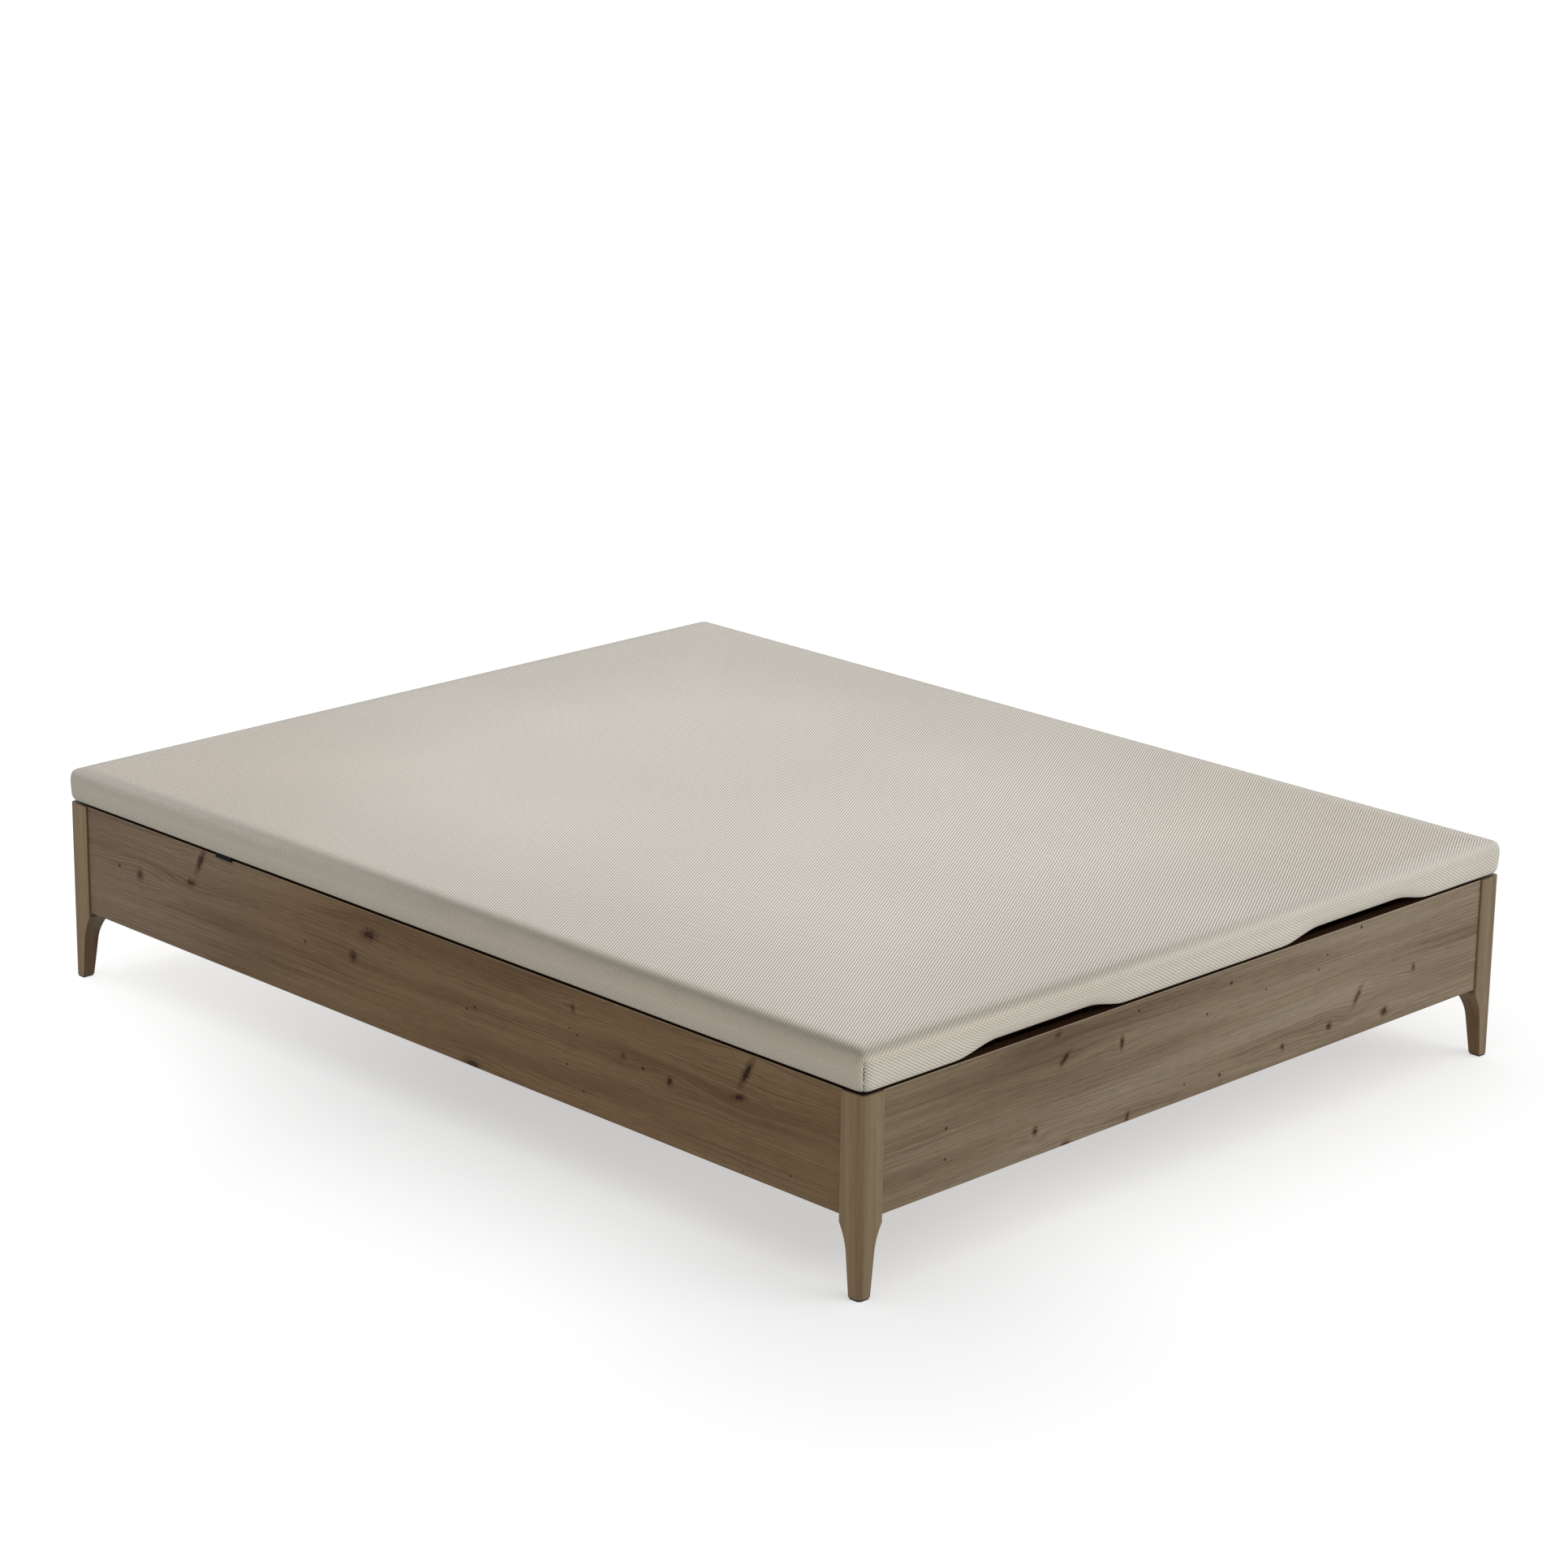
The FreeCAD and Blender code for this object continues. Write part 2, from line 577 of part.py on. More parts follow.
def make_lid_frame():
    """Wooden rails, steel crossbars in sockets and the board that the padding lies on."""
    for name, side in SIDES.items():
        rail = new_body(f"lid_rail_{name}")
        corner = RAIL_CORNER
        sketch = outline(new_sketch(rail, "XY_Plane"), [
            ("-sizes.rail_thickness", f"-{RAIL_Y}"), (f"-{corner}", f"-{RAIL_Y}", corner, 1),
            ("0", f"-{RAIL_Y} + {corner}"), ("0", f"{RAIL_Y} - {corner}", corner, 1),
            (f"-{corner}", RAIL_Y), ("-sizes.rail_thickness", RAIL_Y),
        ])
        pad(rail, sketch, RAIL_HEIGHT)
        rail_turn = "0" if side > 0 else "180"
        keep(place(rail, f"{side} * {RAIL_X}", z=RAIL_BOTTOM, turn=rail_turn), f"lid_rail_{name}")
    head = box("lid_rail_head", f"-{RAIL_INNER_X}", RAIL_INNER_Y, RAIL_BOTTOM, f"2 * {RAIL_INNER_X}",
               "sizes.rail_thickness", RAIL_HEIGHT)
    keep(head, "lid_rail_head")
    foot = box("foot_rail_blank", f"-{RAIL_INNER_X}", f"-{RAIL_Y}", RAIL_BOTTOM, f"2 * {RAIL_INNER_X}",
               "sizes.rail_thickness", RAIL_HEIGHT)
    depth = f"({LID_BOTTOM} + sizes.scallop_depth + sizes.scallop_hem - {RAIL_BOTTOM})"
    tools = scallop_tools("foot_rail", RAIL_BOTTOM, depth, f"-{RAIL_Y} + sizes.rail_thickness / 2",
                          "2 * sizes.rail_thickness")
    keep(cut("lid_rail_foot", foot, tools), "lid_rail_foot")
    board = new_body("lid_board")
    sketch = outline(new_sketch(board, "XY_Plane"), rounded_rectangle(RAIL_X, RAIL_Y, RAIL_CORNER))
    pad(board, sketch, "sizes.board_thickness")
    keep(place(board, z=BOARD_BOTTOM), "lid_board")
    make_crossbars()


def make_crossbars():
    """Four square tubes across the lid, each end in a steel socket on its side rail."""
    sockets = []
    for number in range(CROSSBAR_COUNT):
        y = f"{number - (CROSSBAR_COUNT - 1) / 2} * {CROSSBAR_SPACING}"
        bar = new_body(f"crossbar_{number + 1}")
        sketch = new_sketch(bar, "YZ_Plane")
        half = "sizes.crossbar_width / 2"
        wall = "sizes.crossbar_wall"
        outline(sketch, rectangle(f"-{half}", "-sizes.crossbar_height", half, "0"))
        outline(sketch, rectangle(f"-{half} + {wall}", f"-sizes.crossbar_height + {wall}", f"{half} - {wall}",
                                  f"-{wall}"))
        pad(bar, sketch, f"2 * ({RAIL_INNER_X} - sizes.socket_wall - sizes.socket_clearance)", "Symmetric")
        keep(place(bar, y=y, z=BOARD_BOTTOM), f"crossbar_{number + 1}")
        for name, side in SIDES.items():
            sockets.append(make_socket(f"socket_{number + 1}_{name}", side, y))
    group("crossbar_sockets", sockets)


def make_socket(name, side, y):
    """A folded steel shoe, open at the top, that carries one crossbar's end."""
    outer = "(sizes.crossbar_width / 2 + sizes.socket_clearance + sizes.socket_wall)"
    inner = "(sizes.crossbar_width / 2 + sizes.socket_clearance)"
    x = f"{RAIL_INNER_X} - sizes.socket_depth" if side > 0 else f"-{RAIL_INNER_X}"
    slot_bottom = f"({BOARD_BOTTOM} - sizes.crossbar_height)"
    block = box(f"{name}_block", x, f"{y} - {outer}", f"{slot_bottom} - sizes.socket_wall",
                "sizes.socket_depth", f"2 * {outer}", "sizes.crossbar_height + sizes.socket_wall")
    slot_x = x if side > 0 else f"{x} + sizes.socket_wall"
    slot = box(f"{name}_slot", slot_x, f"{y} - {inner}", slot_bottom,
               "sizes.socket_depth - sizes.socket_wall", f"2 * {inner}", "sizes.crossbar_height")
    return cut(name, block, [slot])


def make_upholstery():
    """The padded cover: a top pad with rolled edges over four border pads that are drawn in at the hem."""
    top = new_body("cover_top")
    sketch = outline(new_sketch(top, "XY_Plane"), rounded_rectangle(LID_X, LID_Y, "sizes.lid_corner_radius"))
    slab = pad(top, sketch, "sizes.pad_thickness")
    doc.recompute()
    roll = top.newObject("PartDesign::Fillet", "cover_top_roll")
    upper = [f"Edge{number}" for number, edge in enumerate(slab.Shape.Edges, start=1)
             if edge.BoundBox.ZMin > slab.Shape.BoundBox.ZMax - 1e-6]
    roll.Base = (slab, upper)
    roll.setExpression("Radius", "sizes.pad_roll")
    keep(place(top, z=PAD_BOTTOM), "cover_top")
    ring = make_border_ring()
    # Each border is the ring's share inside a wedge whose slanted sides run through the corner seams.
    reach = "(2 * sizes.lid_corner_radius)"
    inner_x = f"({LID_X} - {reach})"
    inner_y = f"({LID_Y} - {reach})"
    outer_x = f"({LID_X} + {reach})"
    outer_y = f"({LID_Y} + {reach})"
    side_wedge = [(inner_x, f"-{inner_y}"), (outer_x, f"-{outer_y}"), (outer_x, outer_y), (inner_x, inner_y)]
    end_wedge = [(f"-{inner_x}", inner_y), (inner_x, inner_y), (outer_x, outer_y), (f"-{outer_x}", outer_y)]
    for name, side in SIDES.items():
        keep(cut_border(f"cover_side_{name}", ring, side_wedge, side), f"cover_side_{name}")
    for name, end in ENDS.items():
        border = cut_border(f"border_{name}", ring, end_wedge, end)
        if end < 0:
            tools = scallop_tools("cover_foot", LID_BOTTOM, "sizes.scallop_depth",
                                  f"-{LID_Y} + sizes.border_thickness / 2", "4 * sizes.border_thickness")
        else:
            tools = hinge_notches()
        keep(cut(f"cover_{name}", border, tools), f"cover_{name}")


def cut_border(name, ring, wedge_plan, direction):
    """The share of the border ring inside a wedge, which is turned round for the left and foot sides."""
    wedge = new_body(f"{name}_wedge")
    pad(wedge, outline(new_sketch(wedge, "XY_Plane"), wedge_plan), LID_TOP)
    place(wedge, turn="0" if direction > 0 else "180")
    border = doc.addObject("Part::Common", name)
    border.Base = ring
    border.Tool = wedge
    return border


def make_border_ring():
    """The border's section, swollen above and drawn in at the hem, carried round the lid's plan."""
    ring = new_body("border_ring")
    height = f"({PAD_BOTTOM} - {LID_BOTTOM})"
    draw = "sizes.border_draw_in"
    rise = "sizes.border_draw_height"
    bulge = f"(({rise} * {rise} + {draw} * {draw}) / (2 * {draw}))"
    path = outline(new_sketch(ring, "XY_Plane"), rounded_rectangle(LID_X, LID_Y, "sizes.lid_corner_radius"))
    section = outline(new_sketch(ring, "XZ_Plane"), [
        (f"{LID_X} - {draw}", "0", bulge, 1), (LID_X, rise), (LID_X, height),
        (f"{LID_X} - sizes.border_thickness", height), (f"{LID_X} - sizes.border_thickness", "0"),
    ])
    sweep = ring.newObject("PartDesign::AdditivePipe", "border_sweep")
    sweep.Profile = section
    sweep.Spine = (path, [f"Edge{number + 1}" for number in range(path.GeometryCount)])
    sweep.Transition = "Right corner"
    return place(ring, z=LID_BOTTOM)


def hinge_places():
    return [f"{number} * sizes.hinge_spacing" for number in HINGE_STEPS]


def hinge_notches():
    """Cuts in the head border's hem that leave room for the hinges."""
    half = "(sizes.hinge_length / 2 + sizes.hinge_knuckle_gap)"
    notches = []
    for number, x in enumerate(hinge_places(), start=1):
        notches.append(box(f"hinge_notch_{number}", f"{x} - {half}", f"{LID_Y} - 2 * sizes.border_thickness",
                           f"{LID_BOTTOM} - sizes.lid_gap", f"2 * {half}", "4 * sizes.border_thickness",
                           f"{RAIL_BOTTOM} + sizes.hinge_knuckle_gap - {LID_BOTTOM} + sizes.lid_gap"))
    return notches


def make_hinges():
    """Three butt hinges: a box leaf on the head panel's top, a lid leaf under the head rail, and a pin."""
    box_leaves = []
    lid_leaves = []
    pins = []
    for number, x in enumerate(hinge_places(), start=1):
        box_leaves.append(make_box_leaf(number, x))
        lid_leaves.append(make_lid_leaf(number, x))
        pins.append(hinge_rod(f"hinge_pin_{number}", f"{x} - {HINGE_HALF}", "sizes.hinge_pin_radius",
                              "sizes.hinge_length"))
    group("hinge_box_leaves", box_leaves)
    group("hinge_lid_leaves", lid_leaves)
    group("hinge_pins", pins)


def hinge_rod(name, x, radius, length):
    """A round solid on the hinge line, for a knuckle, a pin, a bore or the room round a knuckle."""
    return rod_along_x(name, x, HINGE_Y, HINGE_Z, radius, length)


def make_box_leaf(number, x):
    """The lower leaf, with a knuckle over each outer third of its length."""
    plate = box(f"box_leaf_plate_{number}", f"{x} - {HINGE_HALF}", f"{HINGE_Y} - sizes.hinge_leaf_width",
                "sizes.leg_height", "sizes.hinge_length", "sizes.hinge_leaf_width", "sizes.hinge_leaf")
    first = hinge_rod(f"box_knuckle_a_{number}", f"{x} - {HINGE_HALF}", HINGE_RADIUS, HINGE_THIRD)
    last = hinge_rod(f"box_knuckle_b_{number}", f"{x} + {HINGE_THIRD} / 2", HINGE_RADIUS, HINGE_THIRD)
    room = hinge_rod(f"box_leaf_room_{number}", f"{x} - {HINGE_THIRD} / 2", HINGE_ROOM, HINGE_THIRD)
    bore = hinge_rod(f"box_leaf_bore_{number}", f"{x} - {HINGE_HALF} - {HINGE_GAP}", HINGE_BORE,
                     f"sizes.hinge_length + 2 * {HINGE_GAP}")
    leaf = fuse(f"box_leaf_blank_{number}", [plate, first, last])
    return cut(f"hinge_box_leaf_{number}", leaf, [room, bore])


def make_lid_leaf(number, x):
    """The upper leaf, with one knuckle over the middle third of its length."""
    plate = box(f"lid_leaf_plate_{number}", f"{x} - {HINGE_HALF}", f"{HINGE_Y} - sizes.hinge_leaf_width",
                f"{RAIL_BOTTOM} - sizes.hinge_leaf", "sizes.hinge_length", "sizes.hinge_leaf_width",
                "sizes.hinge_leaf")
    knuckle = hinge_rod(f"lid_knuckle_{number}", f"{x} - {HINGE_THIRD} / 2 + {HINGE_GAP}", HINGE_RADIUS,
                        f"{HINGE_THIRD} - 2 * {HINGE_GAP}")
    tools = []
    for name, start in (("a", f"{x} - {HINGE_HALF}"), ("b", f"{x} + {HINGE_THIRD} / 2")):
        tools.append(hinge_rod(f"lid_leaf_room_{name}_{number}", f"{start} - {HINGE_GAP}", HINGE_ROOM,
                               f"{HINGE_THIRD} + 2 * {HINGE_GAP}"))
    tools.append(hinge_rod(f"lid_leaf_bore_{number}", f"{x} - {HINGE_HALF}", HINGE_BORE,
                           "sizes.hinge_length"))
    leaf = fuse(f"lid_leaf_blank_{number}", [plate, knuckle])
    return cut(f"hinge_lid_leaf_{number}", leaf, tools)


def make_bumpers():
    """Rubber blocks on the panel tops that carry the closed lid's rails."""
    x = f"({RAIL_X} + {PANEL_X}) / 2"
    y = f"({RAIL_Y} + {PANEL_Y}) / 2"
    long_way = "sizes.bumper_length"
    short_way = "sizes.bumper_width"
    bumpers = []
    for side_name, side in SIDES.items():
        for step in BUMPER_STEPS:
            bumpers.append(make_bumper(f"bumper_{side_name}_{step + 2}", f"{side} * {x}",
                                       f"{step} * sizes.bumper_spacing", short_way, long_way))
    bumpers.append(make_bumper("bumper_foot", "0", f"-{y}", long_way, short_way))
    group("lid_bumpers", bumpers)


def make_bumper(name, x, y, length, width):
    return box(name, f"{x} - {length} / 2", f"{y} - {width} / 2", "sizes.leg_height", length, width,
               f"{RAIL_BOTTOM} - sizes.leg_height")


def make_strut_plate(label, wall, width, height, hole_rows, x, y, z):
    """A steel plate with rounded corners and two screw holes in each row, about its middle at x, y and z."""
    body = new_body(label)
    half_width = f"({width} / 2)"
    half_height = f"({height} / 2)"
    sketch = new_sketch(body, "YZ_Plane")
    outline(sketch, rounded_rectangle(half_width, half_height, "sizes.plate_corner"))
    margin = "sizes.plate_hole_margin"
    for across in (f"{half_width} - {margin}", f"{margin} - {half_width}"):
        for up in hole_rows:
            circle(sketch, across, up, "sizes.plate_hole_radius")
    pad(body, sketch, wall)
    return keep(place(body, x, y, z), label)


def make_pivot_pin(name, side, seat_x, y, z):
    """A shouldered pin from a plate at seat_x, through a strut's eye, to its cap on the inner side."""
    pin = new_body(name)
    shoulder = f"({seat_x} - {STRUT_X} - sizes.eye_width / 2 - sizes.pin_clearance)"
    cap_start = f"({seat_x} - {STRUT_X} + sizes.eye_width / 2 + sizes.pin_clearance)"
    cap_end = f"({cap_start} + sizes.pin_cap)"
    collar = "sizes.pin_collar_radius"
    shank = "sizes.pin_radius"
    sketch = outline(new_sketch(pin, "XZ_Plane"), [
        ("0", "0"), (collar, "0"), (collar, shoulder), (shank, shoulder), (shank, cap_start),
        (collar, cap_start), (collar, cap_end), ("0", cap_end),
    ])
    revolve(pin, sketch)
    turn = "-90" if side > 0 else "90"
    return place(pin, f"{side} * {seat_x}", y, z, turn, FreeCAD.Vector(0, 1, 0))


def make_strut(name, side):
    """One gas strut, drawn upright from its lower pin: a tube and a rod with their eyes, and a piston."""
    bore = "(sizes.tube_radius - sizes.tube_wall)"
    guide = "(sizes.rod_radius + sizes.rod_clearance)"
    bore_low = "(sizes.eye_neck + sizes.tube_end)"
    tube = new_body(f"strut_cylinder_{name}")
    sketch = outline(new_sketch(tube, "XZ_Plane"), [
        ("0", "0"), ("sizes.rod_radius", "0"), ("sizes.rod_radius", "sizes.eye_neck"),
        ("sizes.tube_radius", "sizes.eye_neck"), ("sizes.tube_radius", TUBE_TOP), (guide, TUBE_TOP),
        (guide, f"{TUBE_TOP} - sizes.tube_guide"), (bore, f"{TUBE_TOP} - sizes.tube_guide"),
        (bore, bore_low), ("0", bore_low),
    ])
    revolve(tube, sketch)
    add_eye(tube, "0")
    strut_place = (f"{side} * {STRUT_X}", LOWER_PIN_Y, LOWER_PIN_Z, STRUT_ANGLE, FreeCAD.Vector(1, 0, 0))
    keep(place(tube, *strut_place), f"strut_cylinder_{name}")
    piston_low = f"({bore_low} + sizes.piston_rest)"
    piston = doc.addObject("Part::Cylinder", f"piston_{name}")
    piston.setExpression("Radius", f"{bore} - sizes.rod_clearance")
    piston.setExpression("Height", "sizes.piston_length")
    axial = f"{LOWER_PIN_Y} - {piston_low} * sin({STRUT_ANGLE})"
    upright = f"{LOWER_PIN_Z} + {piston_low} * cos({STRUT_ANGLE})"
    place(piston, strut_place[0], axial, upright, STRUT_ANGLE, FreeCAD.Vector(1, 0, 0))
    keep(piston, f"strut_piston_{name}")
    shaft = new_body(f"strut_rod_{name}")
    sketch = outline(new_sketch(shaft, "XZ_Plane"), rectangle("0", f"{piston_low} + sizes.piston_length",
                                                             "sizes.rod_radius", STRUT_CLOSED))
    revolve(shaft, sketch)
    add_eye(shaft, STRUT_CLOSED)
    keep(place(shaft, *strut_place), f"strut_rod_{name}")


def add_eye(body, along):
    """Add a strut's end eye, bored for its pin, at a distance along the strut."""
    disc = circle(new_sketch(body, "YZ_Plane"), "0", along, "sizes.eye_radius")
    pad(body, disc, "sizes.eye_width", "Symmetric")
    hole = circle(new_sketch(body, "YZ_Plane"), "0", along, "sizes.pin_radius + sizes.pin_clearance")
    pocket(body, hole)


def make_lifting_gear():
    """Strut plates on the side panels, brackets on the lid's side rails, their pins and the two struts."""
    lower_pins = []
    upper_pins = []
    arm_middle = f"(({RAIL_BOTTOM} + {BOARD_BOTTOM}) / 2)"
    plate_middle = f"({FLOOR_TOP} + sizes.floor_clearance + sizes.plate_height / 2)"
    # The plate is centred on its pin, or slides forward to stay clear of the corner bracket behind it.
    behind = f"({LEG_Y} - sizes.bracket_panel_flange - sizes.plate_bracket_gap - sizes.plate_width / 2)"
    plate_y = f"min({LOWER_PIN_Y}; {behind})"
    row = "(sizes.plate_height / 2 - sizes.plate_hole_margin)"
    for name, side in SIDES.items():
        plate_seat = f"({PANEL_X} - sizes.plate_wall)"
        plate_x = plate_seat if side > 0 else f"-{PANEL_X}"
        make_strut_plate(f"strut_plate_{name}", "sizes.plate_wall", "sizes.plate_width", "sizes.plate_height",
                         (row, f"-{row}"), plate_x, plate_y, plate_middle)
        arm_seat = f"({RAIL_INNER_X} - sizes.arm_wall)"
        arm_x = arm_seat if side > 0 else f"-{RAIL_INNER_X}"
        make_strut_plate(f"strut_bracket_{name}", "sizes.arm_wall", "sizes.arm_width", "sizes.arm_height",
                         ("0",), arm_x, UPPER_PIN_Y, arm_middle)
        lower_pins.append(make_pivot_pin(f"lower_pin_{name}", side, plate_seat, LOWER_PIN_Y, LOWER_PIN_Z))
        upper_pins.append(make_pivot_pin(f"upper_pin_{name}", side, arm_seat, UPPER_PIN_Y, UPPER_PIN_Z))
        make_strut(name, side)
    group("strut_lower_pins", lower_pins)
    group("strut_upper_pins", upper_pins)


def check_and_write():
    """Stop on any failed object, then write each sub-part under its own name."""
    doc.recompute()
    for item in doc.Objects:
        if "Invalid" in item.State or "Error" in item.State:
            raise RuntimeError(f"{item.Label} failed: {item.State}")
    os.makedirs("parts", exist_ok=True)
    for item in sub_parts:
        if item.Shape.isNull() or not item.Shape.isValid():
            raise RuntimeError(f"{item.Label} has no valid shape")
    for item in sub_parts:
        item.Shape.exportStep(os.path.join("parts", item.Label + ".step"))
    print(f"{len(sub_parts)} sub-parts written")


make_legs()
make_panels()
make_floor()
make_corner_brackets()
make_lid_frame()
make_upholstery()
make_hinges()
make_bumpers()
make_lifting_gear()
check_and_write()
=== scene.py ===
"""Dresses the storage bed base: cloth lid, oak-decor box, beech legs and lifting gear, on a white floor."""

import math
from functools import partial, partialmethod

import bmesh
import bpy
from mathutils import Matrix, Vector, noise


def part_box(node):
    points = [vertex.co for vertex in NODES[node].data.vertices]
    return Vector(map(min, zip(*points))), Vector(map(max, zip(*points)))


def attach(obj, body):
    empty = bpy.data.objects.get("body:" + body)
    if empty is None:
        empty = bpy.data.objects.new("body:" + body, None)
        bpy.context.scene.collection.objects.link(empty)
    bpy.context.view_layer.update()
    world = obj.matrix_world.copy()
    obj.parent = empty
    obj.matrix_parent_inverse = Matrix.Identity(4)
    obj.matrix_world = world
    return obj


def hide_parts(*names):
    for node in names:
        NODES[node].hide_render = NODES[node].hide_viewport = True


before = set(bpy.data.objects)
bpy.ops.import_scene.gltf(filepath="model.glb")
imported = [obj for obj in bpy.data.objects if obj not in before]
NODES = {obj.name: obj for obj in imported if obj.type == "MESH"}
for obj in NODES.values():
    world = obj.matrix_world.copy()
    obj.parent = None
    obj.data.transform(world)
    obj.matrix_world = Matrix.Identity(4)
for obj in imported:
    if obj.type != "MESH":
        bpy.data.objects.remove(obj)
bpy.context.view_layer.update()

bl_info = {
    "name": "Storage bed base",
    "version": (1, 0, 0),
    "blender": (4, 5, 0),
    "location": "View3D > Sidebar > Bed base",
    "description": "Cloth lid, oak-decor panels, beech legs and lifting gear of a storage bed base",
    "category": "Object",
}

TURN = 2 * math.pi
MM = 0.001
PHOTO_SIDE = 1932
SENSOR = 36.0
WHITE = (1.0, 1.0, 1.0)

COVER_NODES = ("cover_top", "cover_side_left", "cover_side_right", "cover_foot", "cover_head")
HEM = min(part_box(name)[0].z for name in COVER_NODES)
LID_HIGH = [max(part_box(name)[1][axis] for name in COVER_NODES) for axis in range(3)]
PANEL_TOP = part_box("foot_panel")[1].z
BOARD_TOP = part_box("lid_board")[1].z
HINGES = (-0.520, 0.0, 0.520)


def tint(red, green, blue):
    """A written 0 to 255 colour as the linear colour that the finishes use."""
    linear = []
    for part in (red, green, blue):
        part = part / 255
        linear.append(part / 12.92 if part <= 0.04045 else ((part + 0.055) / 1.055) ** 2.4)
    return tuple(linear)


def shaded(linear, by):
    """A linear colour, made darker or lighter."""
    return tuple(part * by for part in linear)


def number(label, about, default, **kind):
    return bpy.props.FloatProperty(name=label, description=about, default=default, **kind)


def numbers(label, about, *default, **kind):
    return bpy.props.FloatVectorProperty(name=label, description=about, default=default, **kind)


def colour(label, about, *written):
    return numbers(label, about, *tint(*written), subtype="COLOR", size=3, min=0, max=1)


def angle(label, about, degrees):
    return number(label, about, math.radians(degrees), subtype="ANGLE")


def share(label, about, amount, top=1.0):
    return number(label, about, amount, min=0, max=top)


length = partial(number, unit="LENGTH", precision=4)
position = partial(numbers, unit="LENGTH", precision=4)


class BedLidSettings(bpy.types.PropertyGroup):
    """The cloth lid's shape and its weave."""
    corner: length("Corner", "Radius of the lid's corners in plan", 0.022)
    roll: length("Roll", "How far in from the edge the top starts to turn down", 0.012)
    crown: length("Crown", "How far the pad lifts the top", 0.0015)
    droop: length("Droop", "How far the top sinks towards its edge", 0.0034)
    droop_width: length("Droop width", "How far in from the roll the top starts to sink", 0.036)
    lip: length("Lip", "How far the cloth's underside stays clear of the rails", 0.0005)
    scallop_centre: length("Scallop centre", "A finger scallop's distance from the middle of the foot", 0.373)
    scallop_length: length("Scallop length", "A finger scallop's length at the hem", 0.374)
    scallop_ramp: length("Scallop ramp", "Length of the curve at each end of a scallop", 0.088)
    scallop_depth: length("Scallop depth", "How far the hem rises in a scallop", 0.014)
    hinge_notch: length("Hinge notch", "Half the length of the hem's relief over a hinge", 0.054)
    seam_depth: length("Seam depth", "How deep the corner seams pull in", 0.0016)
    weave_across: length("Weave across", "The weave's repeat across the bed", 0.00875)
    weave_along: length("Weave along", "The weave's repeat along the bed", 0.0053)
    thread_light: colour("Light thread", "The crowns of the weave", 238, 234, 226)
    thread_middle: colour("Thread", "The weave's flanks", 203, 197, 185)
    thread_dark: colour("Mesh hole", "The small holes between the threads", 140, 134, 123)
    seam: colour("Seam", "The dark line of the corner seams", 44, 40, 35)
    tab: colour("Tab", "The bare woven tab at the hem", 20, 21, 21)


class BedWoodSettings(bpy.types.PropertyGroup):
    """The woods' colours."""
    oak_light: colour("Oak, light", "Light bands of the oak decor", 157, 140, 117)
    oak_middle: colour("Oak", "The oak decor's ground", 145, 126, 102)
    oak_dark: colour("Oak, dark", "Dark bands and fine lines of the oak decor", 118, 98, 76)
    knot_halo: colour("Knot halo", "The brown round a knot", 82, 55, 36)
    knot_core: colour("Knot core", "The cracks and pith of a knot", 38, 20, 11)
    # Painted highlight: the light line along a panel's top edge.
    oak_edge_highlight: colour("Painted edge highlight", "The light line along a panel's top edge", 190, 178, 158)
    # Painted shade on the tops of the panels and legs, which lie in shadow under the lid.
    top_painted_shade: colour("Dark edge", "The dark top edges of the panels and legs", 52, 34, 22)
    beech_light: colour("Beech, light", "Light stripes of the legs", 131, 113, 87)
    beech_middle: colour("Beech", "The legs' ground", 120, 102, 76)
    beech_fleck: colour("Beech fleck", "Flecks in the legs", 98, 75, 52)
    pine_light: colour("Pine, light", "Early wood of the rails and ledges", 214, 188, 146)
    pine_dark: colour("Pine, dark", "Late wood of the rails and ledges", 176, 138, 92)
    birch_light: colour("Plywood, light", "Light figure of the floor and lid boards", 216, 196, 162)
    birch_dark: colour("Plywood, dark", "Dark figure of the floor and lid boards", 190, 163, 124)


class BedGearSettings(bpy.types.PropertyGroup):
    """The metals, plastic and rubber."""
    powder_black: colour("Powder coat", "Coat of the beam, crossbars and strut plates", 34, 34, 36)
    zinc: colour("Zinc", "Plating of hinges, brackets and pins", 178, 180, 182)
    strut_black: colour("Strut paint", "Paint of the gas strut tubes", 24, 24, 26)
    chrome: colour("Chrome", "The struts' rods", 214, 216, 219)
    plastic: colour("Plastic", "Glides under the legs", 36, 34, 33)
    rubber: colour("Rubber", "Bumpers under the lid", 30, 29, 29)
    screw_radius: length("Screw head", "Radius of a screw's head", 0.0042)
    screw_rise: length("Screw rise", "How far a screw's head stands out", 0.0016)


class BedStageSettings(bpy.types.PropertyGroup):
    """Camera, lamps and floor."""
    focal: share("Focal length", "In pixels of the photograph's frame", 5259.3, 20000)
    azimuth: angle("Azimuth", "Camera's turn about the bed", -44.901)
    elevation: angle("Elevation", "Camera's height angle", 17.002)
    roll: angle("Roll", "Camera's tilt", 0.858)
    offset: position("Offset", "The bed's origin as the camera sees it", -0.0265, -0.3908, -7.2664)
    sky: share("Sky", "Light from all round", 0.48, 4)
    overhead: share("Overhead", "Soft light from above", 1.36, 10)
    front: share("Front", "Soft light from the front right", 1.22, 10)
    floor_white: share("Floor white", "Share of plain white in the floor that the camera sees", 0.53)
    # Painted shadow on the floor: where it is darkest, how much darker, and how much lighter towards the
    # head.
    shade_at: position("Shade at", "Where the floor is darkest", -0.80, -1.05, 0.0)
    shade_depth: share("Shade depth", "How much darker the floor is there", 0.10)
    head_white: share("Head white", "How much lighter the floor is towards the head", 0.20)
    floor_grey: share("Floor grey", "Share of lit floor that the camera sees", 0.48)


